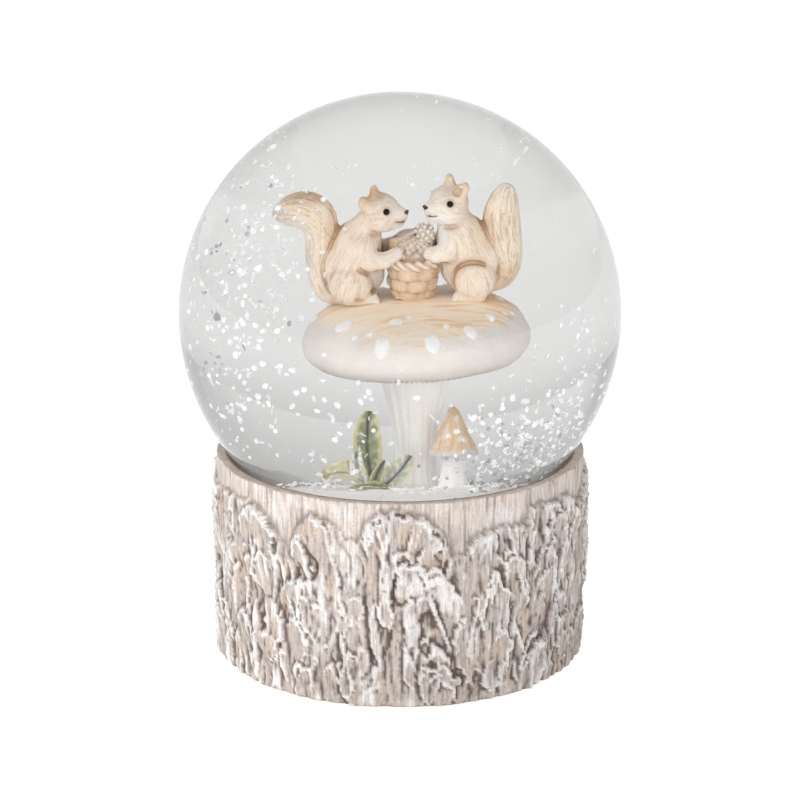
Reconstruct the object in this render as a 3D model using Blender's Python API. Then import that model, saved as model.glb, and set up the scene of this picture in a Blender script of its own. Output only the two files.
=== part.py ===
"""Snow globe: a water-filled glass ball with a woodland scene, on a cast base that looks like a bark log.

Lengths are written in millimetres and turned into metres by MM. +Z is up and the front faces -Y.
The origin is on the resting surface, under the middle of the ball.
"""
import math

import bmesh
import bpy
from mathutils import Matrix, Vector, noise

MM = 0.001
TAU = 2 * math.pi
GAP = 0.3                      # clearance between pieces that touch
MERGE = 0.000001               # merge distance of the turned pieces, in metres

# Glass ball, blown with a short open neck at its foot
BALL_RADIUS = 50.0
BALL_Z = 79.1
GLASS_WALL = 2.2
NECK_RADIUS = 26.4
NECK_BORE = 24.2
NECK_END_Z = 26.0
BALL_STEPS = 40
BALL_ARC_STEPS = 16

# Base, a hollow casting with a bark skin
BASE_HEIGHT = 47.7
BASE_FOOT_Z = 0.4
BASE_TOP_RADIUS = 42.4
BASE_FOOT_RADIUS = 41.4
BARK_DEPTH = 1.3
BASE_STEPS = 64
BASE_ROWS = 10
SEAT_GAP = 0.5                 # between the ball and its spherical seat
GLUE_TRENCH = 1.6              # depth of the trench for the bedding glue, below the seat
GLUE_EDGE_RADIUS = 33.0
WELL_RADIUS = 28.4
WELL_FLOOR_Z = 4.2
PLATE_RADIUS = 31.0
FELT_RADIUS = 37.0
FELT_THICKNESS = 1.0

# Stopper that closes the neck and carries the figure
STOPPER_TOP_Z = 36.0
STOPPER_FLANGE_Z = 22.6

# Figure, kept inside a circle that passes through the neck
GROUND_RADIUS = 23.0
GROUND_TOP_Z = 50.0
STEM_X = 2.5
CAP_CENTRE = (2.8, 0.0, 75.2)
CAP_TILT = math.radians(-2.5)
GROUP_Y = 3.5                  # the squirrels and their basket stand behind the cap's middle
BASKET_PLACE = (2.3, GROUP_Y, 0)
BASKET_FOOT_Z = 81.8
BASKET_RIM_Z = 88.0
PILE_PLACE = (2.8, GROUP_Y, 0)
PILE_TOP_Z = 94.3
LITTLE_MUSHROOM = (9.2, -8.0)
SKIN_VOXEL = 1.1               # mesh size of the squirrels' skins

# Filling
LIQUID_GAP = 0.4
FIGURE_CLEARANCE_RADIUS = 24.4
FIGURE_CLEARANCE_Z = 104.0
FLAKE_COUNT = 24
FLAKE_ORBIT = 45.6
FLAKE_RADIUS = 0.8
FLAKE_THICKNESS = 0.35
GOLDEN_ANGLE = math.pi * (3 - math.sqrt(5))


def clear_scene():
    for thing in list(bpy.data.objects):
        bpy.data.objects.remove(thing, do_unlink=True)


def material(name, colour, roughness, metallic=0.0, alpha=1.0):
    found = bpy.data.materials.get(name)
    if found:
        return found
    made = bpy.data.materials.new(name)
    made.use_nodes = True
    shader = made.node_tree.nodes["Principled BSDF"]
    shader.inputs["Base Color"].default_value = (*colour, 1.0)
    shader.inputs["Roughness"].default_value = roughness
    shader.inputs["Metallic"].default_value = metallic
    shader.inputs["Alpha"].default_value = alpha
    return made


def glass_look():
    return material("clear_glass", (0.95, 0.97, 0.98), 0.02, alpha=0.25)


def cream_resin():
    return material("cream_resin", (0.86, 0.80, 0.71), 0.5)


def tan_resin():
    return material("tan_resin", (0.72, 0.55, 0.38), 0.55)


def white_resin():
    return material("white_resin", (0.88, 0.86, 0.82), 0.5)


def leaf_paint():
    return material("leaf_paint", (0.30, 0.34, 0.20), 0.5)


def finish_object(bm, name, look, smooth_angle=40):
    """Turn a mesh in millimetres into a named object in metres."""
    bmesh.ops.scale(bm, vec=(MM, MM, MM), verts=bm.verts)
    bmesh.ops.recalc_face_normals(bm, faces=bm.faces)
    mesh = bpy.data.meshes.new(name)
    bm.to_mesh(mesh)
    bm.free()
    mesh.shade_smooth()
    mesh.set_sharp_from_angle(angle=math.radians(smooth_angle))
    mesh.materials.append(look)
    made = bpy.data.objects.new(name, mesh)
    bpy.context.scene.collection.objects.link(made)
    return made


def spun(profile, steps, closed):
    """Spin a list of (radius, height) points about Z into a closed mesh, in millimetres."""
    bm = bmesh.new()
    verts = [bm.verts.new((radius, 0.0, height)) for radius, height in profile]
    edges = [bm.edges.new(pair) for pair in zip(verts, verts[1:])]
    if closed:
        edges.append(bm.edges.new((verts[-1], verts[0])))
    bmesh.ops.spin(bm, geom=verts + edges, cent=(0, 0, 0), axis=(0, 0, 1), angle=TAU, steps=steps)
    bmesh.ops.remove_doubles(bm, verts=bm.verts, dist=MERGE / MM)
    return bm


def turned(name, profile, look, steps=32, closed=False, location=(0, 0, 0), tilt=0.0):
    """Turned piece; an open profile starts and ends on the axis, a closed one makes a ring."""
    made = finish_object(spun(profile, steps, closed), name, look)
    made.location = Vector(location) * MM
    made.rotation_euler = (0, tilt, 0)
    return made


def arc(radius, start, end, steps, height=0.0, squash=1.0):
    """Points on a circle about (0, height), by angle from +Z in degrees."""
    angles = [math.radians(start + (end - start) * i / steps) for i in range(steps + 1)]
    return [(max(0.0, radius * math.sin(a)), height + squash * radius * math.cos(a)) for a in angles]


def angle_below(radius, sphere):
    """Angle from +Z, in degrees, at which the lower half of a sphere has this radius about Z."""
    return 180 - math.degrees(math.asin(radius / sphere))


def as_cutter(thing):
    thing.hide_render = True
    thing.display_type = "WIRE"
    return thing


def boolean(target, tool, operation="DIFFERENCE"):
    modifier = target.modifiers.new(operation.lower(), "BOOLEAN")
    modifier.operation = operation
    modifier.solver = "EXACT"
    modifier.object = tool


def glass_globe():
    inside = BALL_RADIUS - GLASS_WALL
    outer = arc(BALL_RADIUS, 0, angle_below(NECK_RADIUS, BALL_RADIUS), BALL_ARC_STEPS, BALL_Z)
    inner = arc(inside, angle_below(NECK_BORE, inside), 0, BALL_ARC_STEPS, BALL_Z)
    lip = [(NECK_RADIUS, NECK_END_Z), (NECK_BORE, NECK_END_Z)]
    return turned("glass_globe", outer + lip + inner, glass_look(), BALL_STEPS)


def bark_relief(angle, height):
    """Depth of the bark skin, from -1 to 1: upright ridges with shallow cross cracks."""
    around = Vector((math.cos(angle), math.sin(angle), 0)) * 5.0
    ridges = noise.noise(around + Vector((0, 0, height / 22)))
    lumps = noise.noise(around * 0.5 + Vector((7, 3, height / 9)))
    return max(-1.0, min(1.0, 1.3 * ridges + 0.9 * lumps))


def bark_base():
    """Log-shaped casting with a spherical seat on top and a round well right through it."""
    seat = BALL_RADIUS + SEAT_GAP
    drop = BALL_Z - BASE_HEIGHT
    rim_angle = 180 - math.degrees(math.acos(drop / seat))
    outside = []
    for row in range(BASE_ROWS + 1):
        share = row / BASE_ROWS
        radius = BASE_TOP_RADIUS + (BASE_FOOT_RADIUS - BASE_TOP_RADIUS) * share
        outside.append((radius, BASE_HEIGHT + (BASE_FOOT_Z - BASE_HEIGHT) * share))
    felt_recess = FELT_RADIUS + 0.4
    felt_roof = FELT_THICKNESS + GAP
    plate_recess = PLATE_RADIUS + GAP
    underside = [(felt_recess, BASE_FOOT_Z), (felt_recess, felt_roof), (plate_recess, felt_roof),
                 (plate_recess, WELL_FLOOR_Z), (WELL_RADIUS, WELL_FLOOR_Z)]
    trench = seat + GLUE_TRENCH
    socket = arc(trench, angle_below(WELL_RADIUS, trench), angle_below(GLUE_EDGE_RADIUS, trench), 2, BALL_Z)
    socket += arc(seat, angle_below(GLUE_EDGE_RADIUS, seat), rim_angle, 3, BALL_Z)
    bm = spun(outside + underside + socket, BASE_STEPS, closed=True)
    skin_radius = min(BASE_FOOT_RADIUS, BASE_TOP_RADIUS) - 0.1
    for vert in bm.verts:
        flat = Vector((vert.co.x, vert.co.y, 0))
        if flat.length < skin_radius:
            continue
        angle = math.atan2(vert.co.y, vert.co.x)
        vert.co += flat.normalized() * BARK_DEPTH * (bark_relief(angle, vert.co.z) - 0.3)
    return finish_object(bm, "bark_base", material("whitewashed_bark", (0.66, 0.59, 0.52), 0.8))


def base_fittings():
    """Felt, closing plate, and the ring of glue that beds the ball in its seat."""
    felt = [(0, FELT_THICKNESS), (FELT_RADIUS, FELT_THICKNESS), (FELT_RADIUS, 0), (0, 0)]
    turned("felt_pad", felt, material("green_felt", (0.10, 0.12, 0.09), 0.95), 40)
    low = FELT_THICKNESS + 2 * GAP
    high = WELL_FLOOR_Z - GAP
    plate = [(0, high), (PLATE_RADIUS, high), (PLATE_RADIUS, low), (0, low)]
    turned("bottom_plate", plate, material("grey_board", (0.45, 0.42, 0.38), 0.85), 40)
    under_ball = BALL_RADIUS + GAP
    over_trench = BALL_RADIUS + SEAT_GAP + GLUE_TRENCH - GAP
    inside, outside = WELL_RADIUS + GAP, GLUE_EDGE_RADIUS - GAP
    ring = arc(under_ball, angle_below(inside, under_ball), angle_below(outside, under_ball), 2, BALL_Z)
    ring += arc(over_trench, angle_below(outside, over_trench), angle_below(inside, over_trench), 2, BALL_Z)
    turned("glue_ring", ring, material("amber_glue", (0.72, 0.62, 0.42), 0.35), BALL_STEPS, closed=True)


def neck_fittings():
    """Rubber stopper in the neck and the bead of sealant round the joint."""
    flange_top = NECK_END_Z - GAP
    plug = NECK_BORE - GAP
    stopper = [(0, STOPPER_TOP_Z), (plug - 0.6, STOPPER_TOP_Z), (plug, STOPPER_TOP_Z - 1.0),
               (plug, flange_top), (NECK_RADIUS, flange_top), (NECK_RADIUS, STOPPER_FLANGE_Z),
               (0, STOPPER_FLANGE_Z)]
    turned("rubber_stopper", stopper, material("black_rubber", (0.05, 0.05, 0.05), 0.7), BALL_STEPS)
    inner = NECK_RADIUS + GAP
    outer = WELL_RADIUS - GAP
    bead = [(inner, NECK_END_Z + 3), (outer, NECK_END_Z + 2), (outer, STOPPER_FLANGE_Z),
            (inner, STOPPER_FLANGE_Z)]
    sealant = material("clear_sealant", (0.80, 0.80, 0.78), 0.4)
    turned("sealant_bead", bead, sealant, BALL_STEPS, closed=True)


def snow_ground():
    top = [(0, GROUND_TOP_Z), (16, GROUND_TOP_Z), (20, GROUND_TOP_Z - 0.8), (22.4, GROUND_TOP_Z - 2.4),
           (GROUND_RADIUS, GROUND_TOP_Z - 4.5), (GROUND_RADIUS, STOPPER_TOP_Z + GAP),
           (0, STOPPER_TOP_Z + GAP)]
    turned("snow_ground", top, white_resin(), 40)


def cap_profile(grow=0.0):
    """The cap from its crown over a thick rounded rim to its flat underside, grown outwards by grow."""
    crown = [(0, 6.2), (7, 6.0), (12, 5.3), (15.6, 4.0), (17.9, 2.1), (19.1, -0.4), (18.7, -2.7),
             (16.7, -4.3), (12.5, -5.1), (0, -5.4)]
    return [(radius + grow if radius else 0.0, height + math.copysign(grow, height + 1))
            for radius, height in crown]


def mushroom():
    """Big toadstool: fluted stem, and a tilted cap with raised spots."""
    top = CAP_CENTRE[2] - 6.1
    stem = [(0, top), (5.9, top), (5.2, top - 3), (4.2, top - 7), (3.5, top - 12), (3.4, top - 16),
            (3.9, GROUND_TOP_Z + GAP), (0, GROUND_TOP_Z + GAP)]
    turned("mushroom_stem", stem, white_resin(), 24, location=(STEM_X, 0, 0))
    cap = turned("mushroom_cap", cap_profile(), cream_resin(), 40, location=CAP_CENTRE, tilt=CAP_TILT)
    boolean(cap, cap_spots(), "UNION")


def cap_spots():
    """Low round spots on the cap's shoulder, spaced by the golden angle."""
    bm = bmesh.new()
    for index in range(9):
        bearing = math.radians(100) + index * GOLDEN_ANGLE
        reach = 15.2 + 1.4 * math.sin(2.3 * index)
        height = 4.1 - 0.9 * math.sin(2.3 * index)
        place = Matrix.Translation((reach * math.cos(bearing), reach * math.sin(bearing), height))
        size = Matrix.Diagonal((1.5, 1.5, 0.9, 1))
        bmesh.ops.create_icosphere(bm, subdivisions=1, radius=1, matrix=place @ size)
    spots = finish_object(bm, "cap_spots", white_resin())
    spots.location = Vector(CAP_CENTRE) * MM
    spots.rotation_euler = (0, CAP_TILT, 0)
    return as_cutter(spots)


def nut_basket(grow=0.0):
    """Little woven pot; grow makes the cutter that keeps other pieces clear of it."""
    foot, rim = BASKET_FOOT_Z, BASKET_RIM_Z
    outside = [(4.5 + grow, rim + grow), (4.3 + grow, rim - 2.4), (4.4 + grow, foot + 2.2),
               (3.8 + grow, foot - grow)]
    if grow:
        profile = [(0, rim + grow)] + outside + [(0, foot - grow)]
        return as_cutter(turned("basket_clearance", profile, tan_resin(), 20, location=BASKET_PLACE))
    hollow = [(0, rim - 2.2), (3.5, rim - 2.2), (3.7, rim)]
    profile = hollow + outside + [(0, foot)]
    return turned("nut_basket", profile, tan_resin(), 20, location=BASKET_PLACE)


def nut_pile(grow=0.0):
    """Heap of nuts and berries, seated in the basket and domed above its rim."""
    seat = BASKET_RIM_Z - 2.2 + GAP
    rim = BASKET_RIM_Z + GAP
    dome = [(0.0, PILE_TOP_Z + grow), (1.6 + grow, PILE_TOP_Z - 0.5 + grow),
            (3.0 + grow, PILE_TOP_Z - 2.2 + grow), (4.0 + grow, PILE_TOP_Z - 4.4), (4.1 + grow, rim + 0.2)]
    if grow:
        profile = dome + [(0, rim - grow)]
        return as_cutter(turned("pile_clearance", profile, tan_resin(), 16, location=PILE_PLACE))
    profile = dome + [(2.6, rim), (2.6, seat), (0, seat)]
    return turned("nut_pile", profile, material("nut_brown", (0.55, 0.42, 0.32), 0.6), 16,
                  location=PILE_PLACE)


def ball_chain(start, bend, end, first, last, count):
    """Balls of changing radius along a quadratic curve, for tails and limbs."""
    start, bend, end = Vector(start), Vector(bend), Vector(end)
    chain = []
    for index in range(count):
        t = index / (count - 1)
        centre = start * (1 - t) ** 2 + bend * 2 * t * (1 - t) + end * t * t
        radius = first + (last - first) * t
        chain.append((centre, (radius, radius, radius)))
    return chain


def squirrel_body(head, lean):
    """Ellipsoids of a squirrel that sits up, facing +X from its hip at the origin.

    head is the place of the skull's middle, and lean moves the chest towards the head.
    """
    parts = [((0, 0, 4.4), (4.6, 4.4, 4.4)),                        # haunch
             ((1.0 + lean * 0.3, 0, 7.8), (4.0, 3.8, 4.4)),         # belly
             ((2.0 + lean * 0.7, 0, 11.0), (3.2, 3.1, 3.4)),        # chest
             ((head[0] - 1.7, 0, head[2] - 3.2), (2.5, 2.3, 2.7)),  # neck
             (head, (3.5, 2.8, 3.1)),                               # skull
             ((head[0] + 2.7, 0, head[2] - 0.9), (1.5, 1.3, 1.3))]  # muzzle
    for side in (-1, 1):
        parts += [((1.2, side * 3.3, 4.2), (3.6, 1.8, 3.7)),                       # thigh
                  ((3.4, side * 2.9, 1.1), (2.8, 1.2, 1.1)),                       # foot
                  ((head[0] - 2.4, side * 1.5, head[2] + 2.9), (1.3, 1.1, 1.8)),   # ear
                  ((3.2 + lean * 0.7, side * 2.8, 10.2), (1.6, 1.3, 2.4)),         # upper arm
                  ((5.2 + lean * 0.5, side * 3.3, 8.9), (2.4, 1.1, 1.1))]          # forearm
    return parts


def squirrel(name, hip, facing, head, lean, tail, clearances):
    """Seated squirrel with a ball-built body, cut clear of what it sits on and holds."""
    bm = bmesh.new()
    for centre, radii in squirrel_body(head, lean) + tail:
        place = Matrix.Translation((hip[0] + facing * centre[0], hip[1] + centre[1], hip[2] + centre[2]))
        size = Matrix.Diagonal((*radii, 1))
        bmesh.ops.create_icosphere(bm, subdivisions=2, radius=1, matrix=place @ size)
    made = finish_object(bm, name, cream_resin())
    remesh = made.modifiers.new("one skin", "REMESH")
    remesh.mode = "VOXEL"
    remesh.voxel_size = SKIN_VOXEL * MM
    remesh.use_smooth_shade = True
    for tool in clearances:
        boolean(made, tool)
    return made


def squirrels():
    """Two squirrels that face each other over the basket, tails to the outside."""
    clearance = as_cutter(turned("cap_clearance", cap_profile(GAP), cream_resin(), 40,
                                 location=CAP_CENTRE, tilt=CAP_TILT))
    tools = [clearance, nut_basket(GAP), nut_pile(GAP)]
    curled = ball_chain((-3.2, 0, 2.0), (-7.2, 0, 8.0), (-5.3, 0, 14.0), 1.9, 2.8, 7)
    curled += ball_chain((-5.3, 0, 14.0), (-5.0, 0, 19.0), (-11.8, 0, 16.6), 2.8, 0.9, 7)
    squirrel("squirrel_left", (-8.2, GROUP_Y, 79.9), 1, (5.3, 0, 16.7), 1.5, curled, tools)
    upright = ball_chain((-3.0, 0, 3.4), (-5.9, 0, 6.0), (-5.1, 0, 13.0), 2.4, 3.1, 7)
    upright += ball_chain((-5.1, 0, 13.0), (-4.6, 0, 16.0), (-5.5, 0, 19.2), 3.1, 1.5, 6)
    squirrel("squirrel_right", (12.4, GROUP_Y, 80.9), -1, (4.2, 0, 17.2), 0.3, upright, tools)


def leaf(name, base, bearing, rise, bend, length, width, face):
    """Pointed leaf on a curved midrib.

    bearing is its heading about Z, rise and bend its slope at the base and the change of it towards
    the tip, and face the direction that the blade's upper side looks at, all angles in degrees.
    """
    steps, sides = 6, 2
    heading = Vector((math.cos(math.radians(bearing)), math.sin(math.radians(bearing)), 0))
    bm = bmesh.new()
    point = Vector(base)
    rows = []
    for row in range(steps + 1):
        t = row / steps
        slope = math.radians(rise + bend * t)
        along = heading * math.cos(slope) + Vector((0, 0, math.sin(slope)))
        across = along.cross(Vector(face)).normalized()
        half = 0.5 * width * max(0.14, math.sin(math.pi * (0.06 + 0.92 * t)) ** 0.8)
        rows.append([bm.verts.new(point + across * half * (2 * s / sides - 1)) for s in range(sides + 1)])
        point = point + along * length / steps
    for low, high in zip(rows, rows[1:]):
        for s in range(sides):
            bm.faces.new((low[s], low[s + 1], high[s + 1], high[s]))
    made = finish_object(bm, name, leaf_paint())
    blade = made.modifiers.new("blade", "SOLIDIFY")
    blade.thickness = 0.7 * MM
    blade.offset = 0.0
    return made


def undergrowth():
    """Leaf sprig at the toadstool's foot, and a little mushroom beside it."""
    front, up = (0, -1, 0), (0, -0.3, 1)
    leaf("leaf_upright", (-4.9, -8.4, 50.8), 180, 88, 6, 13.0, 5.0, front)
    leaf("leaf_frosted", (-7.2, -9.6, 50.8), 180, 78, 6, 6.8, 2.8, front)
    leaf("leaf_centre", (-4.4, -10.6, 50.8), 0, 66, 4, 4.4, 2.8, front)
    leaf("leaf_right", (-2.6, -9.2, 50.8), 0, 52, -30, 6.2, 4.0, front)
    leaf("leaf_left", (-8.9, -9.6, 50.9), 180, 32, -34, 5.4, 3.2, up)
    leaf("leaf_front", (-2.4, -12.7, 50.9), 183, 4, -4, 6.6, 2.8, up)
    x, y = LITTLE_MUSHROOM
    stem = [(0, 56.0), (2.0, 56.0), (1.8, 53.5), (2.5, GROUND_TOP_Z + GAP), (0, GROUND_TOP_Z + GAP)]
    turned("little_mushroom_stem", stem, white_resin(), 16, location=(x, y, 0))
    cone = [(0, 64.6), (1.0, 63.7), (2.5, 60.6), (4.2, 57.4), (4.3, 56.7), (3.6, 56.3), (0, 56.3)]
    turned("little_mushroom_cap", cone, material("orange_paint", (0.80, 0.52, 0.28), 0.5), 20,
           location=(x, y, 0))


def flake_frames():
    """Place and outward direction of each flake, spread over the ball by the golden angle."""
    frames = []
    for index in range(FLAKE_COUNT):
        rise = 0.95 - 1.68 * (index + 0.5) / FLAKE_COUNT
        flat = math.sqrt(1 - rise * rise)
        turn = index * GOLDEN_ANGLE
        outward = Vector((flat * math.cos(turn), flat * math.sin(turn), rise))
        centre = Vector((0, 0, BALL_Z)) + outward * FLAKE_ORBIT
        frames.append((centre, outward.to_track_quat("Z", "Y").to_matrix().to_4x4()))
    return frames


def snowflakes():
    """Loose flakes, thin six-sided plates."""
    look = material("white_flake", (0.95, 0.95, 0.95), 0.4)
    for number, (centre, facing) in enumerate(flake_frames(), start=1):
        bm = bmesh.new()
        bmesh.ops.create_cone(bm, cap_ends=True, segments=6, radius1=FLAKE_RADIUS, radius2=FLAKE_RADIUS,
                              depth=FLAKE_THICKNESS, matrix=facing)
        made = finish_object(bm, f"snowflake_{number:02d}", look)
        made.location = centre * MM


def liquid_fill():
    """Filling of the ball: a turned bell with a hollow for the figure and a pocket for each flake."""
    radius = BALL_RADIUS - GLASS_WALL - LIQUID_GAP
    outer = arc(radius, 0, angle_below(27, radius), BALL_ARC_STEPS, BALL_Z)
    hollow = FIGURE_CLEARANCE_RADIUS
    foot = outer[-1][1]
    roof = [(r, z) for r, z in arc(hollow, 90, 0, 5, FIGURE_CLEARANCE_Z, squash=0.2)]
    clear = material("clear_liquid", (0.9, 0.95, 0.97), 0.02, alpha=0.2)
    fill = turned("liquid_fill", outer + [(hollow, foot)] + roof, clear, BALL_STEPS)
    pockets = bmesh.new()
    for centre, facing in flake_frames():
        place = Matrix.Translation(centre) @ facing @ Matrix.Translation((0, 0, 1.2))
        bmesh.ops.create_cone(pockets, cap_ends=True, segments=6, radius1=FLAKE_RADIUS + 0.5,
                              radius2=FLAKE_RADIUS + 0.5, depth=3.6, matrix=place)
    boolean(fill, as_cutter(finish_object(pockets, "flake_pockets", glass_look())))


def main():
    clear_scene()
    bark_base()
    base_fittings()
    neck_fittings()
    glass_globe()
    snow_ground()
    mushroom()
    nut_basket()
    nut_pile()
    squirrels()
    undergrowth()
    liquid_fill()
    snowflakes()


main()
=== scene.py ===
import math

import bmesh
import bpy
import numpy as np
from mathutils import Matrix, Vector


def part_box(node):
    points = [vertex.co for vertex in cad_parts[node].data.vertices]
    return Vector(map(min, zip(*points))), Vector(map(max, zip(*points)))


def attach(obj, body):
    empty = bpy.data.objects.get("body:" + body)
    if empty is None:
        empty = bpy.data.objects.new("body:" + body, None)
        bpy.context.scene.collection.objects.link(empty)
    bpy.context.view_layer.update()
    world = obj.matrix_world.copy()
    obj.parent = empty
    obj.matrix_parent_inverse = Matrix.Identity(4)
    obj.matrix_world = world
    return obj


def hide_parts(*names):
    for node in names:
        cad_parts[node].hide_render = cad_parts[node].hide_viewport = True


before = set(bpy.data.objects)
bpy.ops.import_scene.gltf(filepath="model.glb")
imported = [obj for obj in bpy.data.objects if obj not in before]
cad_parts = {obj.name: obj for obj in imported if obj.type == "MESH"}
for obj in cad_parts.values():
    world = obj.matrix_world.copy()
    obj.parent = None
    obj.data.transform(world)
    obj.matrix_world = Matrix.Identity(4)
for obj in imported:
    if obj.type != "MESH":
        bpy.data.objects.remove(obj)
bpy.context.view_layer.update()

# Everything below is in millimetres, in the CAD frame, until make_piece turns it into metres.
MM = 0.001
TAU = 2 * math.pi


def cad_box(node):
    """Lowest and highest corners of a CAD node, in millimetres."""
    low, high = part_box(node)
    return np.array(low) / MM, np.array(high) / MM


GLASS_INDEX, LIQUID_INDEX = 1.5, 1.34
LIQUID_TINT = (210, 210, 209)
# Painted shade on the glass by how far it is seen edge on, for the dark rim of thick glass: (0 face on to 1
# edge on, grey)
RIM_SHADE = ((0.50, 1.0), (0.66, 0.93), (0.80, 0.82), (1.0, 0.66))

# Sizes that follow from the CAD frame
BALL_RADIUS = 50.0
BALL_TOP = cad_box("glass_globe")[1][2]
BALL_CENTRE = np.array((0.0, 0.0, BALL_TOP - BALL_RADIUS))
BALL_WALL = 2.2
NECK_FOOT = cad_box("glass_globe")[0][2]
NECK_RADIUS = 26.4
NECK_BORE = 24.2
NECK_LIP = 0.4                 # rounding of the neck's edge
LIQUID_GAP, LIQUID_NECK_GAP, LIQUID_FOOT_GAP = 0.05, 0.35, 0.15
STOPPER_TOP = cad_box("rubber_stopper")[1][2]
BASE_TOP = cad_box("bark_base")[1][2]
BASE_FOOT = cad_box("bark_base")[0][2]
GROUND_TOP = cad_box("snow_ground")[1][2]


# ---------------------------------------------------------------- noise

class Noise:
    """Gradient noise on arrays of points, the same on every run."""

    def __init__(self, seed):
        source = np.random.RandomState(seed)
        self.table = np.tile(source.permutation(256), 2)
        vectors = source.normal(size=(256, 3))
        self.vectors = vectors / np.linalg.norm(vectors, axis=1)[:, None]

    def corner(self, cell):
        """Number of the random vector at a corner of the noise's lattice."""
        x, y, z = (cell % 256).T
        return self.table[(self.table[(self.table[x] + y) % 256] + z) % 256]

    def perlin(self, points):
        """One octave, from about -1 to 1, with features one unit apart."""
        cell = np.floor(points).astype(int)
        offset = points - cell
        fade = offset ** 3 * (offset * (offset * 6 - 15) + 10)
        total = np.zeros(len(points))
        for step in np.ndindex(2, 2, 2):
            gradient = self.vectors[self.corner(cell + np.array(step))]
            weight = np.prod(np.where(np.array(step) == 1, fade, 1 - fade), axis=1)
            total += weight * np.einsum("ij,ij->i", gradient, offset - np.array(step))
        return total * 1.5

    def fractal(self, points, octaves=3, gain=0.5):
        """Octaves on top of each other, each twice as fine."""
        total, size = np.zeros(len(points)), 1.0
        for octave in range(octaves):
            total += size * self.perlin(points * 2 ** octave + 17.3 * octave)
            size *= gain
        return total


def smooth(value, low, high):
    """0 below low, 1 above high, and an even step between them."""
    t = np.clip((value - low) / (high - low), 0, 1)
    return t * t * (3 - 2 * t)


# ---------------------------------------------------------------- meshes

def make_piece(name, verts, faces, looks, smooth_angle=None, paint=None, face_looks=None):
    """A smooth mesh object from points in millimetres, with a painted colour per point if given."""
    mesh = bpy.data.meshes.new(name)
    mesh.from_pydata((np.asarray(verts, float) * MM).tolist(), [], [list(map(int, f)) for f in faces])
    looks = looks if isinstance(looks, (list, tuple)) else [looks]
    for look in looks:
        mesh.materials.append(look)
    if face_looks is not None:
        mesh.polygons.foreach_set("material_index", np.asarray(face_looks, np.int32))
    mesh.shade_smooth()
    if smooth_angle:
        mesh.set_sharp_from_angle(angle=math.radians(smooth_angle))
    if paint is not None:
        add_paint(mesh, paint)
    mesh.update()
    piece = bpy.data.objects.new(name, mesh)
    bpy.context.scene.collection.objects.link(piece)
    return piece


def add_paint(mesh, colours):
    """Store the painted colours; Look.paint reads them."""
    layer = mesh.attributes.new("paint", "FLOAT_COLOR", "POINT")
    values = np.ones((len(mesh.vertices), 4), np.float32)
    values[:, :3] = colours
    layer.data.foreach_set("color", values.ravel())


def stand_for(piece, body, slot, *nodes):
    """Ride the piece on its body and let it take the place of the CAD nodes, if any. The slot is not used."""
    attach(piece, body)
    if nodes:
        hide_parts(*nodes)


def grid_faces(rows, columns, wrap_rows=False, wrap_columns=True, start=0):
    """Quads of a grid of points stored row by row. Rows go down the outside, columns go round the axis."""
    faces = []
    last_row = rows if wrap_rows else rows - 1
    last_column = columns if wrap_columns else columns - 1
    for row in range(last_row):
        below = (row + 1) % rows
        for column in range(last_column):
            beside = (column + 1) % columns
            faces.append((start + row * columns + column, start + below * columns + column,
                          start + below * columns + beside, start + row * columns + beside))
    return faces


def turned_faces(rows, columns):
    """Quads of a grid round the axis, with its first and last row closed by fans."""
    faces = grid_faces(rows, columns)
    top, foot = rows * columns, rows * columns + 1
    final = (rows - 1) * columns
    for column in range(columns):
        beside = (column + 1) % columns
        faces.append((top, column, beside))
        faces.append((foot, final + beside, final + column))
    return faces


def turned_rows(profile, steps):
    """Points on the circles that the profile's (radius, height) pairs trace round the axis."""
    ring = round_axis(np.arange(steps) * TAU / steps)
    circles = [np.column_stack([ring * radius, np.full(steps, height)]) for radius, height in profile]
    return np.concatenate(circles)


def lathe(profile, steps):
    """Points and faces of a turned solid. The profile runs down its outside, from axis to axis."""
    profile = np.asarray(profile, float)
    ends = [(0, 0, profile[0][1]), (0, 0, profile[-1][1])]
    return np.vstack([turned_rows(profile[1:-1], steps), ends]), turned_faces(len(profile) - 2, steps)


def round_axis(angles):
    """Directions round the vertical axis, as (x, y)."""
    return np.stack([np.cos(angles), np.sin(angles)], 1)


def arc(radius, start, end, steps, height=0.0):
    """Profile of part of a ball, from one angle off the upward axis to another, in degrees."""
    angles = np.radians(np.linspace(start, end, steps + 1))
    return np.column_stack([np.maximum(radius * np.sin(angles), 0), height + radius * np.cos(angles)])


def angle_below(radius, sphere):
    """Where the lower half of a ball is this wide, in degrees off the upward axis."""
    return 180 - math.degrees(math.asin(radius / sphere))


# ---------------------------------------------------------------- materials

def linear(red, green, blue):
    """Linear colour from the 0 to 255 values that one would read off a screen."""
    channels = np.array((red, green, blue), float) / 255
    return tuple(np.where(channels <= 0.04045, channels / 12.92, ((channels + 0.055) / 1.055) ** 2.4))


def pigment(red, green, blue):
    """The same as an array, for paint that is mixed point by point."""
    return np.array(linear(red, green, blue))


def dabbed(colour, paint, amount):
    """Colours with this much of another paint laid over each point."""
    return colour + (paint - colour) * np.asarray(amount)[..., None]


def set_stops(color_ramp, stops):
    """Stops of a colour ramp; each is (place, colour), and a number stands for a grey."""
    elements = color_ramp.elements
    while len(elements) < len(stops):
        elements.new(0.5)
    for element, (place, colour) in zip(elements, stops):
        element.position = place
        element.color = (*(colour if isinstance(colour, tuple) else (colour,) * 3), 1)


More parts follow.
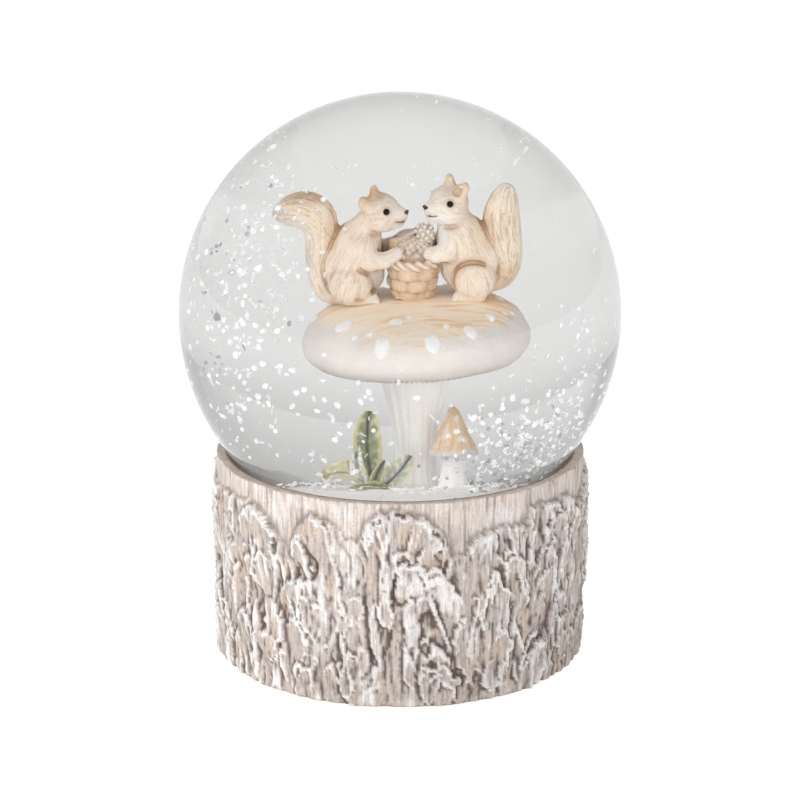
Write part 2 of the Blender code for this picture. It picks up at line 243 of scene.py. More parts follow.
class Look:
    """A material under construction: a Principled BSDF and short ways to wire nodes to it."""

    def __init__(self, name, colour=(0.8, 0.8, 0.8), roughness=0.5, **settings):
        self.material = bpy.data.materials.new(name)
        self.material.use_nodes = True
        self.nodes = self.material.node_tree.nodes
        self.links = self.material.node_tree.links
        self.shader = self.nodes["Principled BSDF"]
        self.output = self.nodes["Material Output"]
        self.shader.inputs["Base Color"].default_value = (*colour, 1)
        self.shader.inputs["Roughness"].default_value = roughness
        for label, value in settings.items():
            self.shader.inputs[label.replace("_", " ")].default_value = value
        self.place = self.add("ShaderNodeTexCoord").outputs["Object"]

    def add(self, kind, **settings):
        """New node with these settings."""
        node = self.nodes.new(kind)
        for label, value in settings.items():
            setattr(node, label, value)
        return node

    def wire(self, source, target):
        """Link from an output to an input."""
        self.links.new(source, target)

    def noise(self, per_mm, detail=3.0, stretch=(1, 1, 1), roughness=0.55, kind="ShaderNodeTexNoise"):
        """Noise with this many features per millimetre, slower along an axis with a small stretch."""
        mapping = self.add("ShaderNodeMapping")
        mapping.inputs["Scale"].default_value = tuple(per_mm / MM * s for s in stretch)
        self.wire(self.place, mapping.inputs["Vector"])
        node = self.add(kind)
        node.inputs["Scale"].default_value = 1.0
        if kind == "ShaderNodeTexNoise":
            node.inputs["Detail"].default_value = detail
            node.inputs["Roughness"].default_value = roughness
        self.wire(mapping.outputs["Vector"], node.inputs["Vector"])
        return node.outputs[0]

    def ramp(self, source, *stops):
        """Colour ramp read at the source; for its stops see set_stops."""
        node = self.add("ShaderNodeValToRGB")
        set_stops(node.color_ramp, stops)
        self.wire(source, node.inputs["Fac"])
        return node.outputs["Color"]

    def mix(self, factor, first, second, blend="MIX"):
        """Mix of two colours; each value is a socket or a constant."""
        node = self.add("ShaderNodeMix", data_type="RGBA", blend_type=blend)
        for label, value in (("Factor", factor), ("A", first), ("B", second)):
            socket = next(s for s in node.inputs if s.name == label and s.type in ("RGBA", "VALUE")
                          and (label == "Factor" or s.type == "RGBA"))
            if hasattr(value, "links"):
                self.wire(value, socket)
            else:
                socket.default_value = (*value, 1) if isinstance(value, tuple) else value
        return next(s for s in node.outputs if s.type == "RGBA")

    def paint(self):
        """The colours that add_paint stored."""
        return self.add("ShaderNodeVertexColor", layer_name="paint").outputs["Color"]

    def colour(self, source):
        """Wire the base colour."""
        self.wire(source, self.shader.inputs["Base Color"])

    def rough(self, source, low, high):
        """Roughness that goes from low to high as the source does."""
        self.wire(self.ramp(source, (0.3, low), (0.7, high)), self.shader.inputs["Roughness"])

    def bump(self, source, depth_mm, strength=1.0):
        """Relief from the source, on top of any bump so far."""
        node = self.add("ShaderNodeBump")
        node.inputs["Distance"].default_value = depth_mm * MM
        node.inputs["Strength"].default_value = strength
        self.wire(source, node.inputs["Height"])
        tail = self.shader.inputs["Normal"]
        if tail.links:
            self.wire(tail.links[0].from_socket, node.inputs["Normal"])
        self.wire(node.outputs["Normal"], tail)

    def clear_shadow(self, surface, diffuse=False):
        """Let light through for shadow rays, as thin clear glass does, and for diffuse rays if asked."""
        light = self.add("ShaderNodeLightPath")
        open_air = self.add("ShaderNodeBsdfTransparent")
        choose = self.add("ShaderNodeMixShader")
        passing = light.outputs["Is Shadow Ray"]
        if diffuse:
            either = self.add("ShaderNodeMath", operation="MAXIMUM")
            self.wire(passing, either.inputs[0])
            self.wire(light.outputs["Is Diffuse Ray"], either.inputs[1])
            passing = either.outputs[0]
        self.wire(passing, choose.inputs[0])
        self.wire(surface, choose.inputs[1])
        self.wire(open_air.outputs[0], choose.inputs[2])
        self.wire(choose.outputs[0], self.output.inputs["Surface"])


def glass_look(name, index, rim_shade=None):
    """Clear glass. The rim shade is painted shade: the grey laid on the glass where it is seen edge on, for
    the dark rim of thick glass.
    """
    look = Look(name, (1, 1, 1), 0.0, Transmission_Weight=1.0, IOR=index)
    if rim_shade:
        edge_on = look.add("ShaderNodeLayerWeight")
        look.colour(look.ramp(edge_on.outputs["Facing"], *rim_shade))
    look.clear_shadow(look.shader.outputs[0])
    return look.material


def liquid_look():
    """Clear liquid. Its tint sits on the far wall, so what floats inside is seen at full strength."""
    look = Look("clear_liquid")
    tint = look.add("ShaderNodeBsdfTransparent")
    far_wall = look.add("ShaderNodeNewGeometry")
    shade = look.mix(far_wall.outputs["Backfacing"], (1, 1, 1), linear(*LIQUID_TINT))
    look.wire(shade, tint.inputs["Color"])
    look.clear_shadow(tint.outputs[0], diffuse=True)
    return look.material


# ---------------------------------------------------------------- glass and liquid

def glass_globe():
    """Ball and neck in one closed shell. The wet inside has the index of glass against the liquid."""
    turns, steps, lip = 160, 96, NECK_LIP
    inside = BALL_RADIUS - BALL_WALL
    height = BALL_CENTRE[2]
    outer = arc(BALL_RADIUS, 0, angle_below(NECK_RADIUS, BALL_RADIUS), steps, height)
    inner = arc(inside, angle_below(NECK_BORE, inside), 0, steps, height)
    neck = [(NECK_RADIUS, NECK_FOOT + lip), (NECK_RADIUS - lip, NECK_FOOT),
            (NECK_BORE + lip, NECK_FOOT), (NECK_BORE, NECK_FOOT + lip)]
    verts, faces = lathe(np.vstack([outer, neck, inner]), turns)
    # Faces in order: quads down the dry outside and up the wet inside, then both ends' fans in turn
    dry = (len(outer) + 1) * turns
    quads = len(faces) - 2 * turns
    wet = [0] * dry + [1] * (quads - dry) + [0, 1] * turns
    looks = [glass_look("clear_glass", GLASS_INDEX, RIM_SHADE),
             glass_look("wet_glass_face", GLASS_INDEX / LIQUID_INDEX)]
    globe = make_piece("globe_glass", verts, faces, looks, face_looks=wet)
    stand_for(globe, "globe", "clear_glass", "glass_globe")


def liquid():
    """Filling of the ball, a hair inside its glass, down to the stopper."""
    inside = BALL_RADIUS - BALL_WALL - LIQUID_GAP
    bore = NECK_BORE - LIQUID_NECK_GAP
    outer = arc(inside, 0, angle_below(bore, inside), 64, BALL_CENTRE[2])
    foot = STOPPER_TOP + LIQUID_FOOT_GAP
    verts, faces = lathe(np.vstack([outer, [(bore, foot), (0, foot)]]), 128)
    water = make_piece("liquid", verts, faces, liquid_look())
    stand_for(water, "snow", "clear_liquid", "liquid_fill")


# ---------------------------------------------------------------- bark base

BARK_RADIUS = 42.0             # bare wood under the bark, at mid height
BARK_TAPER = 0.5               # the foot is this much smaller and the top this much larger
BARK_COLUMNS, BARK_ROWS = 560, 150
SEAT_RADIUS = BALL_RADIUS + 0.5
TRENCH_RADIUS = SEAT_RADIUS + 1.6
TRENCH_EDGE = 33.0
WELL_RADIUS = 28.4
FELT_RECESS = (37.4, 1.3)
PLATE_RECESS = (31.3, 4.2)
RIM_ROUND = 0.22               # how far the rim's edge is rounded off
RING_STEPS, WAVE_ROWS = 12, 12


def blurred(field, across, down):
    """Gaussian blur of a field on the skin's grid; columns wrap round, rows don't."""
    for axis, width in ((1, across), (0, down)):
        reach = int(3 * width) + 1
        weights = np.exp(-0.5 * (np.arange(-reach, reach + 1) / width) ** 2)
        weights /= weights.sum()
        padded = np.pad(field, [(reach, reach) if a == axis else (0, 0) for a in (0, 1)],
                        mode="wrap" if axis == 1 else "edge")
        length = field.shape[axis]
        field = sum(w * np.take(padded, np.arange(i, i + length), axis) for i, w in enumerate(weights))
    return field


# Upper edge of the bark sheet: degrees to the right of the front, depth below the rim
SHEET_TOP = (
    (-180, 6), (-171, 3), (-160, 9), (-149, 4), (-141, 3), (-133, 8), (-121, 11), (-113, 4), (-104, 2.5),
    (-95, 7), (-86, 10), (-76, 5), (-63, 5), (-52, 4), (-45, 6), (-39, 11), (-36, 12.5), (-33, 7.5),
    (-27, 3.5), (-20, 5), (-17, 8), (-12.5, 8.5), (-10.5, 4.5), (-6, 1.8), (1, 1.3), (7.5, 3.2), (13, 7),
    (15, 11.5), (20, 12.5), (21.5, 9), (27, 7.5), (33, 7.2), (41, 7.4), (43, 4.2), (53, 4), (64, 5.2),
    (74, 9), (83, 4), (94, 8), (104, 3), (117, 5), (126, 10), (138, 4), (150, 8), (161, 3), (172, 8),
    (180, 6))
# Flakes on the front: degrees to the right, depth, half width, half height, slant, way of the proud
# edge in degrees from the right, thickness
FRONT_FLAKES = (
    (-47, 13, 4.4, 8.5, 6, 60, 1.4), (-27, 10, 4.8, 6.5, 0, 80, 1.3), (1, 8.5, 7.5, 7.0, 0, 70, 1.3),
    (-3.5, 17, 1.5, 7.0, -12, 20, 1.1), (-20.5, 18, 1.7, 9.0, 3, 20, 1.1), (-7, 30, 1.4, 8.5, 8, 190, 1.2),
    (4, 27, 2.3, 6.5, 5, 170, 1.0), (26, 12, 3.8, 5.5, 0, 110, 1.5), (38, 16, 1.6, 9.0, 14, 180, 1.4),
    (52, 25, 3.0, 13.0, 0, 90, 0.9), (21.5, 34, 4.0, 7.5, 6, 180, 1.2), (15, 39, 3.2, 4.2, 20, 215, 1.1),
    (30, 41, 3.6, 4.2, 0, 200, 1.3), (-44, 33, 4.2, 8.5, -8, 10, 1.3), (-34, 24, 3.8, 4.2, 30, 60, 1.2),
    (-58, 27, 2.4, 9.0, 0, 180, 1.1), (11, 22, 4.2, 6.5, -10, 95, 0.8))
# Flakes at random: how many, half widths, half heights, thickness
RANDOM_FLAKES = (
    (70, (2.6, 4.4), (4.5, 9.0), 1.25), (170, (1.3, 2.4), (2.6, 6.5), 1.0),
    (120, (0.8, 1.3), (5.0, 12.0), 0.9), (150, (0.8, 1.5), (1.0, 2.2), 0.6))
# Broad smears of white on the front: degrees to the right, depth, half width, half height
SMEARS = (
    (-14, 15, 3.0, 7.5), (13, 21, 4.5, 6.5), (40, 15, 4.0, 8.0), (3, 29, 2.0, 6.5), (-5, 16, 1.8, 8.0),
    (-7, 33, 1.6, 8.0), (22, 34, 3.6, 6.0), (56, 26, 3.0, 12.0), (-24, 22, 2.4, 9.0), (28, 9, 5.0, 4.0),
    (-41, 6, 3.0, 5.0), (-18, 3, 2.2, 3.0), (33, 5, 5.0, 3.0), (-30, 2.5, 3.0, 1.8))

WOOD, WARM_WOOD, BARE_WOOD = pigment(202, 191, 184), pigment(210, 192, 174), pigment(226, 214, 206)
# Whitewash that also serves as painted highlight, and a hollow brown that also serves as painted shade
WHITEWASH_AND_HIGHLIGHT, HOLLOW_BROWN_AND_SHADE = pigment(246, 243, 241), pigment(98, 79, 67)
RING_CREAM, GLASS_SEAT_SHADE = pigment(216, 203, 192), pigment(150, 130, 112)
FOOT_EDGE, CAST_INSIDE = pigment(205, 192, 182), pigment(205, 196, 188)


class BarkSkin:
    """Grid over the bark: rows from the rim down to the foot, columns round the log."""

    def __init__(self):
        self.rough = Noise(11)
        turn = np.arange(BARK_COLUMNS) * TAU / BARK_COLUMNS
        height = np.linspace(BASE_TOP, BASE_FOOT, BARK_ROWS)
        self.turn, self.height = np.meshgrid(turn, height)
        self.shape = self.turn.shape
        self.right = (np.degrees(self.turn) + 90 + 180) % 360 - 180
        self.depth = BASE_TOP - self.height
        self.spot = np.stack([BARK_RADIUS * np.cos(self.turn), BARK_RADIUS * np.sin(self.turn), self.height],
                             -1).reshape(-1, 3)

    def layer(self, size, octaves=2, shift=0.0):
        """Noise with features of this size along x, y and z, in millimetres."""
        return self.rough.fractal(self.spot / size + shift, octaves).reshape(self.shape)


def flake_height(across, up, flake, wobble):
    """One flake of bark: thin at one side, proud with a thin lip at the other. Height, cover and lip."""
    half_width, half_height, slant, proud, thick = flake
    cos, sin = math.cos(math.radians(slant)), math.sin(math.radians(slant))
    u = (across * cos + up * sin) / half_width
    v = (up * cos - across * sin) / half_height
    depth = (1 - np.hypot(u, v) + 0.30 * wobble) * min(half_width, half_height)
    lean = u * math.cos(math.radians(proud)) + v * math.sin(math.radians(proud))
    height = thick * smooth(depth, -0.1, 0.45) * np.clip(0.42 + 0.58 * lean, 0, 2)
    lip = np.exp(-((depth - 0.42) / 0.30) ** 2) * smooth(lean, -0.35, 0.5)
    return height + 0.40 * lip, smooth(depth, 0.0, 0.5), lip


def bark_flakes(skin):
    """Flakes that overlap, over the whole sheet and then on the front: height, lips and tone, -1 to 1."""
    source, painter = np.random.RandomState(12), np.random.RandomState(13)
    total, lips, tone = (np.zeros(skin.shape) for _ in range(3))
    wobbles = [skin.layer((2.6, 2.6, 4.0), 3, 17.0 * number) for number in range(4)]
    flakes = []
    for count, width, tall, thick in RANDOM_FLAKES:
        for _ in range(count):
            flakes.append((source.uniform(-180, 180), source.uniform(3, 46), source.uniform(*width),
                           source.uniform(*tall), source.normal(0, 12), source.uniform(20, 200),
                           thick * source.uniform(0.6, 1.2)))
    for number, (degrees, depth, *flake) in enumerate(flakes + list(FRONT_FLAKES)):
        across = ((skin.turn - math.radians(degrees - 90) + math.pi) % TAU - math.pi) * BARK_RADIUS
        up = skin.height - (BASE_TOP - depth)
        near = (np.abs(across) < 1.6 * flake[0] + 3) & (np.abs(up) < 1.6 * flake[1])
        rise, cover, lip = flake_height(across[near], up[near], flake, wobbles[number % 4][near])
        raised = np.maximum(total[near], rise + 0.45 * total[near] * cover)
        on_top = cover * smooth(raised - total[near], 0.0, 0.15)
        lips[near] = np.maximum(lips[near] * (1 - on_top), lip * on_top)
        tone[near] += (painter.uniform(-1, 1) - tone[near]) * on_top
        total[near] = raised
    return total, lips, tone


def bark_relief(skin):
    """Height over the bare wood, where the bark sheet is, and the flakes' lips and tone."""
    layer, height = skin.layer, skin.height
    top_line = BASE_TOP - np.interp(skin.right, *zip(*SHEET_TOP)) + 0.9 * layer((2.2, 2.2, 3.0), 2, 4.0)
    sheet = smooth(top_line - height, -0.15, 0.7)
    sheet_lip = np.exp(-((top_line - height - 0.7) / 0.5) ** 2)
    sheet_lip = sheet_lip * smooth(layer((5.0, 5.0, 9.0), 2, 9.0), -0.3, 0.3)
    worn = smooth(layer((9.0, 9.0, 20.0), 2, 5.0), 0.28, 0.40)

    flakes, lips, tone = bark_flakes(skin)
    sway = 3.0 * skin.rough.perlin(skin.spot / (9.0, 9.0, 12.0) + 3.0)
    bent = skin.spot + np.column_stack([sway, -sway, 0 * sway])
    folds = 1 - 2.2 * np.abs(skin.rough.fractal(bent / (3.4, 3.4, 24.0) + 20.0, 2)).reshape(skin.shape)
    folds = np.clip(folds, 0, 1) ** 1.5
    lumps = layer((1.5, 1.5, 2.4), 3, 2.0)
    rough_part = smooth(layer((8.0, 8.0, 11.0), 2, 50.0), -0.05, 0.3)
    flat = smooth(flakes, 0.10, 0.45)
    field = sheet * (0.40 + 1.0 * flakes + 0.70 * folds * (1 - 0.75 * flat) - 0.80 * worn * (1 - flat)
                     + 0.25 * sheet_lip + lumps * (0.09 + 0.24 * rough_part * (1 - 0.5 * flat)))
    field += 0.16 * wood_fibre(skin) + 0.40 * layer((16.0, 16.0, 20.0), 1, 3.0) - 0.60
    field -= 0.5 * np.exp(-(height - BASE_FOOT) / 0.7)
    return blurred(field, 0.45, 0.55), sheet, lips, tone


def wood_fibre(skin):
    """Long fine ridges of the grain."""
    return skin.layer((0.95, 0.95, 13.0), 2)


def bark_smears(skin, ragged):
    """Where the broad smears of white lie; ragged frays their edges."""
    smear = np.zeros(skin.shape)
    for right, depth, half_width, half_height in SMEARS:
        across = ((skin.right - right + 180) % 360 - 180) * BARK_RADIUS * TAU / 360
        up = skin.height - (BASE_TOP - depth)
        inside = 1 - np.hypot(across / half_width, up / half_height) + ragged
        smear = np.maximum(smear, smooth(inside, 0.0, 0.55))
    return smear


def bark_paint(skin, field, sheet, lips, tone):
    """White is dragged over what stands proud, as whitewash and as painted highlight on the lips and on faces
    that look up; brown is left in what lies low, as brown paint and as painted shade in the hollows.
    """
    layer = skin.layer
    wide = field - blurred(field, 3.2, 4.6)
    fine = field - blurred(field, 1.3, 1.8)
    thin = field - blurred(field, 0.8, 1.1)
    # Painted highlight: faces that look up are made whiter
    facing_up = np.gradient(blurred(field, 0.9, 0.9), axis=0)
    brush = layer((4.2, 4.2, 12.0), 3, 30.0)
    drag = layer((0.8, 0.8, 5.0), 2, 14.0)
    smear = bark_smears(skin, 0.35 * brush + 0.3 * drag)

    # Painted light and shade: the left is painted lighter and whiter, the right darker, and the foot darker
    # except on the left
    lit = smooth(-skin.right, 5, 50) * (1 - smooth(-skin.right, 100, 140))
    shaded = smooth(skin.right, -25, 55) * (1 - smooth(skin.right, 75, 120))
    low_down = smooth(skin.depth, 22, 46)
    # White: whitewash on what stands proud and painted highlight on the lips and on faces that look up
    white = 0.8 * wide + 0.8 * fine + 0.6 * facing_up + 0.75 * brush + 0.25 * drag + 0.9 * lips * sheet
    white += 0.30 * tone * sheet + 0.06 - 0.20 * shaded - 0.06 * low_down
    white = np.maximum(smooth(white, 0.12, 0.70), 0.75 * smear * smooth(0.35 + wide, 0, 0.3))
    # Brown in what lies low: brown paint and painted shade in the hollows
    dark = smooth(-0.7 * wide - 4.2 * thin - 0.10 * brush + 0.08 * drag + 0.06 * low_down, 0.12, 0.70)
    dark = dark * (0.45 + 0.55 * sheet)
    cracks = smooth(-layer((0.8, 0.8, 18.0), 2, 60.0), 0.28, 0.50) * (1 - sheet)
    dark = np.maximum(dark, 0.55 * cracks)
    warm = smooth(layer((6.0, 6.0, 9.0), 3, 70.0), 0.05, 0.5)
    bare = smooth(1 - sheet + 0.6 * brush, 0.2, 0.9)

    colour = WOOD + np.zeros(skin.shape + (3,))
    colour = dabbed(colour, WARM_WOOD, 0.6 * warm)
    colour = dabbed(colour, BARE_WOOD, bare)
    colour = colour * (1 + 0.13 * drag + 0.12 * wood_fibre(skin))[..., None]
    colour = dabbed(colour, WHITEWASH_AND_HIGHLIGHT, 0.90 * white)
    colour = dabbed(colour, HOLLOW_BROWN_AND_SHADE, 0.90 * dark)
    # Painted light and shade over the whole skin, by bearing and height
    light = 0.87 * (1 + 0.14 * lit - 0.10 * shaded - 0.14 * low_down * (1 - lit))
    colour = colour * light[..., None]
    return np.clip(colour, 0, 1)


def bark_look():
    """Resin cast from bark: the painted colour with fine fibres, grit and a change of warmth."""
    look = Look("whitewashed_bark", roughness=0.75, Specular_IOR_Level=0.35)
    fibres = look.noise(1.7, 5, stretch=(1, 1, 0.07), roughness=0.7)
    grit = look.noise(1.8, 5, roughness=0.7)
    blotch = look.noise(0.22, 3)
    streaks = look.ramp(fibres, (0.36, 0.70), (0.56, 1.06))
    specks = look.ramp(grit, (0.30, 0.66), (0.52, 1.04))
    colour = look.mix(1.0, look.paint(), streaks, "MULTIPLY")
    colour = look.mix(0.7, colour, specks, "MULTIPLY")
    warmth = look.ramp(blotch, (0.3, (1.0, 0.975, 0.955)), (0.7, (0.985, 0.99, 1.0)))
    look.colour(look.mix(1.0, colour, warmth, "MULTIPLY"))
    look.rough(grit, 0.62, 0.86)
    look.bump(fibres, 0.30, 0.9)
    look.bump(grit, 0.12, 0.8)
    return look.material


class BaseRows:
    """Circles of points that make the casting, down its outside and back up its inside."""

    def __init__(self, around):
        self.around, self.rows, self.colours = around, [], []

    def add(self, reach, height, colour):
        """One circle; each value is one for all its points or an array with one for each."""
        reach, height = np.broadcast_to(reach, BARK_COLUMNS), np.broadcast_to(height, BARK_COLUMNS)
        self.rows.append(np.column_stack([self.around * reach[:, None], height]))
        self.colours.append(np.broadcast_to(colour, (BARK_COLUMNS, 3)))

    def add_ring(self, edge, rough, wave):
        """Narrow top ring, from the glass out to the bark: brown painted shade next to the glass that turns
        cream towards the bark.
        """
        inner_edge = math.sqrt(SEAT_RADIUS ** 2 - (BALL_CENTRE[2] - BASE_TOP) ** 2)
        for step in range(1, RING_STEPS + 1):
            share = step / (RING_STEPS + 1)
            reach = inner_edge + (edge - 0.5 - inner_edge) * share
            spot = np.column_stack([self.around * reach[:, None], np.zeros(BARK_COLUMNS)])
            grain = rough.fractal(spot / 2.0, 2)
            # Painted shade: brown where the ring meets the glass, fading to cream towards the bark
            near_bark = smooth(np.array(share), 0.0, 0.35)
            colour = GLASS_SEAT_SHADE * (1 - near_bark) + RING_CREAM * near_bark
            colour = colour[None, :] * (1 + 0.10 * grain[:, None])
            self.add(reach, BASE_TOP + 0.06 * grain + wave * share ** 2 - 0.10 * (1 - share), colour)
        # Painted highlight: the rounded edge of the rim is a little lighter than the ring
        self.add(edge - RIM_ROUND, BASE_TOP - 0.02 + wave, RING_CREAM * 1.04)

    def add_bark(self, radius, heights, colours, wave):
        """Bark from the rim down to the foot; the rim's wave fades out below the top."""
        for index in range(BARK_ROWS):
            drop = RIM_ROUND if index == 0 else 0.0
            fading = wave * max(0.0, 1 - index / WAVE_ROWS)
            self.add(radius[index], heights[index] - drop + fading, colours[index])
        self.add(radius[-1] - 0.5, BASE_FOOT, FOOT_EDGE)

    def add_inside(self):
        """Recesses for the felt and the board, the well, the glue trench and the ball's seat."""
        hollow = [(FELT_RECESS[0], BASE_FOOT), FELT_RECESS, (PLATE_RECESS[0], FELT_RECESS[1]), PLATE_RECESS,
                  (WELL_RADIUS, PLATE_RECESS[1])]
        hollow += list(arc(TRENCH_RADIUS, angle_below(WELL_RADIUS, TRENCH_RADIUS),
                           angle_below(TRENCH_EDGE, TRENCH_RADIUS), 3, BALL_CENTRE[2]))
        for reach, height in hollow:
            self.add(reach, height, CAST_INSIDE)
        seat_top = 180 - math.degrees(math.acos((BALL_CENTRE[2] - BASE_TOP) / SEAT_RADIUS))
        seat = arc(SEAT_RADIUS, angle_below(TRENCH_EDGE, SEAT_RADIUS), seat_top, 6, BALL_CENTRE[2])
        # The seat under the ball is painted in the same brown shade
        for reach, height in seat:
            self.add(reach, height, GLASS_SEAT_SHADE)


def bark_base():
    """Closed casting: bark skin, narrow top ring, spherical seat, glue trench, well and recesses."""
    skin = BarkSkin()
    field, sheet, lips, tone = bark_relief(skin)
    skin_colour = bark_paint(skin, field, sheet, lips, tone)
    around = round_axis(skin.turn[0])
    taper = np.linspace(BARK_TAPER, -BARK_TAPER, BARK_ROWS)
    radius = BARK_RADIUS + taper[:, None] + field
    rough = Noise(5)
    rim_spot = np.column_stack([around * BARK_RADIUS, np.zeros(BARK_COLUMNS)])
    rim_wave = 0.28 * rough.fractal(rim_spot / 6.0, 2) + 0.12 * rough.perlin(rim_spot / 1.3)

    casting = BaseRows(around)
    casting.add_ring(radius[0], rough, rim_wave)
    casting.add_bark(radius, skin.height[:, 0], skin_colour, rim_wave)
    casting.add_inside()
    faces = grid_faces(len(casting.rows), BARK_COLUMNS, wrap_rows=True)
    base = make_piece("bark_log_base", np.concatenate(casting.rows), faces, bark_look(), smooth_angle=70,
                      paint=np.concatenate(casting.colours))
    stand_for(base, "globe", "whitewashed_resin", "bark_base")


# ---------------------------------------------------------------- sculpting

UP = np.array((0, 0, 1.0))


def melt(first, second, soft):
    """Union of two distances with a soft fillet between them."""
    overlap = np.maximum(soft - np.abs(first - second), 0) / soft
    return np.minimum(first, second) - overlap * overlap * soft / 4


def unit(vector):
    """The vector at length one."""
    vector = np.asarray(vector, float)
    return vector / max(np.linalg.norm(vector), 1e-9)


class Limb:
    """Round limb from one ball to another; comb is the way its hair lies, spread how far it fans out."""

    def __init__(self, start, end, radii, colour, soft=1.0, thin=None, comb=None, spread=0.15, fur=1.0,
                 carve=False):
        self.start, self.end = np.array(start, float), np.array(end, float)
        self.radii = radii if isinstance(radii, tuple) else (radii, radii)
        self.colour, self.soft, self.thin = np.array(colour), soft, thin
        self.comb = unit(self.end - self.start if comb is None else comb)
        self.spread, self.fur, self.carve = spread, fur, carve

    def distance(self, points):
        """Distance from the limb's skin, below 0 inside, and the offset from its core."""
        along = self.end - self.start
        t = np.clip((points - self.start) @ along / max(along @ along, 1e-9), 0, 1)
        offset = points - self.start - t[:, None] * along
        scale = 1.0
        if self.thin is not None:
            direction, share = unit(self.thin[0]), self.thin[1]
            offset = offset + (1 / share - 1) * (offset @ direction)[:, None] * direction
            scale = math.sqrt(share)
        length = np.linalg.norm(offset, axis=1)
        return (length - self.radii[0] - (self.radii[1] - self.radii[0]) * t) * scale, offset


class Clay:
    """Figure made of limbs that melt into each other: its distance field, skin, fur and paint."""

    def __init__(self):
        self.limbs, self.patches = [], []

    def limb(self, start, end, radii, colour, **manner):
        """Add a limb; for its manner see Limb."""
        self.limbs.append(Limb(start, end, radii, colour, **manner))

    def ball(self, centre, radius, colour, **manner):
        """Add a limb without length."""
        self.limbs.append(Limb(centre, centre, radius, colour, **manner))

    def patch(self, centre, reach, colour, amount=1.0):
        """Soft-edged spot of paint; reach is its size along each axis."""
        self.patches.append((np.array(centre), np.array(reach), np.array(colour), amount))

    def field(self, points):
        """Distance from the figure's skin, below 0 inside."""
        total = np.full(len(points), 60.0)
        for limb in self.limbs:
            gap = limb.distance(points)[0]
            total = -melt(-total, gap, limb.soft) if limb.carve else melt(total, gap, limb.soft)
        return total

    def slope(self, points, step=0.02):
        """Way in which the field rises."""
        sides = np.eye(3) * step
        rises = [self.field(points + side) - self.field(points - side) for side in sides]
        return np.stack(rises, 1) / (2 * step)

    def bounds(self, margin=0.6):
        """Box round the figure."""
        ends = [(place, max(limb.radii)) for limb in self.limbs for place in (limb.start, limb.end)]
        low = np.min([place - radius for place, radius in ends], 0) - margin
        high = np.max([place + radius for place, radius in ends], 0) + margin
        return low, high

    def skin(self, cell, rounds=2):
        """Even quads over the surface, at about one point per cell."""
        verts, faces = crossing_quads(self.field, *self.bounds(), cell)
        pairs = np.concatenate([faces[:, [0, 1]], faces[:, [1, 2]], faces[:, [2, 3]], faces[:, [3, 0]]])
        first, second = pairs.T
        count = np.bincount(pairs.ravel(), minlength=len(verts))[:, None]
        for _ in range(rounds):
            # Each point moves towards the mean of its neighbours and then back to the surface
            total = np.stack([np.bincount(first, verts[second, axis], len(verts))
                              + np.bincount(second, verts[first, axis], len(verts)) for axis in range(3)], 1)
            verts = 0.4 * verts + 0.6 * total / count
            slope = self.slope(verts)
            steep = np.maximum((slope ** 2).sum(1), 0.05)
            verts = verts - np.clip(self.field(verts) / steep, -cell, cell)[:, None] * slope
        normals = self.slope(verts)
        normals /= np.linalg.norm(normals, axis=1)[:, None]
        return verts, faces, normals

    def coat(self, verts):
        """Paint, way of the hair and length of the fur at each point, blended from the nearest limbs."""
        colour, flow = np.zeros((len(verts), 3)), np.zeros((len(verts), 3))
        fur, total = np.zeros(len(verts)), np.zeros(len(verts))
        for limb in self.limbs:
            gap, offset = limb.distance(verts)
            weight = np.exp(-np.clip(np.abs(gap) if limb.carve else gap, 0, 9) / 0.35) + 1e-9
            outward = offset / np.maximum(np.linalg.norm(offset, axis=1), 1e-6)[:, None]
            colour += weight[:, None] * limb.colour
            flow += weight[:, None] * (limb.comb + limb.spread * outward)
            fur += weight * limb.fur
            total += weight
        colour /= total[:, None]
        for centre, reach, paint, amount in self.patches:
            inside = smooth(1.25 - np.linalg.norm((verts - centre) / reach, axis=1), 0.0, 0.5)
            colour = dabbed(colour, paint, inside * amount)
        return colour, flow, fur / total


def crossing_quads(field, low, high, cell, block=4):
    """Quads around every grid edge that the surface crosses; far blocks are sampled only once."""
    blocks = np.ceil((high - low) / (cell * block)).astype(int) + 1
    size = blocks * block
    middle = (block - 1) / 2
    coarse = (np.argwhere(np.ones(blocks, bool)) * block + middle) * cell + low
    value = field(coarse).reshape(blocks)
    near = np.abs(value) < 1.3 * block * cell
    for axis in range(3):
        value, near = np.repeat(value, block, axis), np.repeat(near, block, axis)
    nodes = np.argwhere(near)
    value[near] = field(nodes * cell + low)
    inside = value < 0
    corners = sum(inside[x:size[0] - 1 + x, y:size[1] - 1 + y, z:size[2] - 1 + z].astype(int)
                  for x, y, z in np.ndindex(2, 2, 2))
    crossed = (corners > 0) & (corners < 8)
    number = np.full(crossed.shape, -1)
    number[crossed] = np.arange(crossed.sum())
    verts = (np.argwhere(crossed) + 0.5) * cell + low
    quads = []
    for axis in range(3):
        beside, above = (axis + 1) % 3, (axis + 2) % 3
        ahead = np.roll(inside, -1, axis)
        change = inside != ahead
        change[tuple(slice(-1, None) if a == axis else slice(None) for a in range(3))] = False
        node = np.argwhere(change)
        steps = []
        for back_beside, back_above in ((1, 1), (0, 1), (0, 0), (1, 0)):
            shift = np.zeros(3, int)
            shift[beside], shift[above] = back_beside, back_above
            place = node - shift
            steps.append(number[place[:, 0], place[:, 1], place[:, 2]])
        quad = np.stack(steps, 1)
        outward = inside[node[:, 0], node[:, 1], node[:, 2]]
        quads.append(np.where(outward[:, None], quad, quad[:, ::-1]))
    return verts, np.concatenate(quads)


def combed(points, normals, flow, size, length, seed, steps=7):
    """Noise smeared along the way the hair lies: streaks with a spread of about one."""
    noise = Noise(seed)
    flow = flow - (flow * normals).sum(1)[:, None] * normals
    flow /= np.maximum(np.linalg.norm(flow, axis=1), 1e-6)[:, None]
    shares = np.linspace(-0.5, 0.5, steps)
    streak = sum(noise.perlin((points + flow * length * share) / size) for share in shares)
    return streak / max(streak.std(), 1e-6)


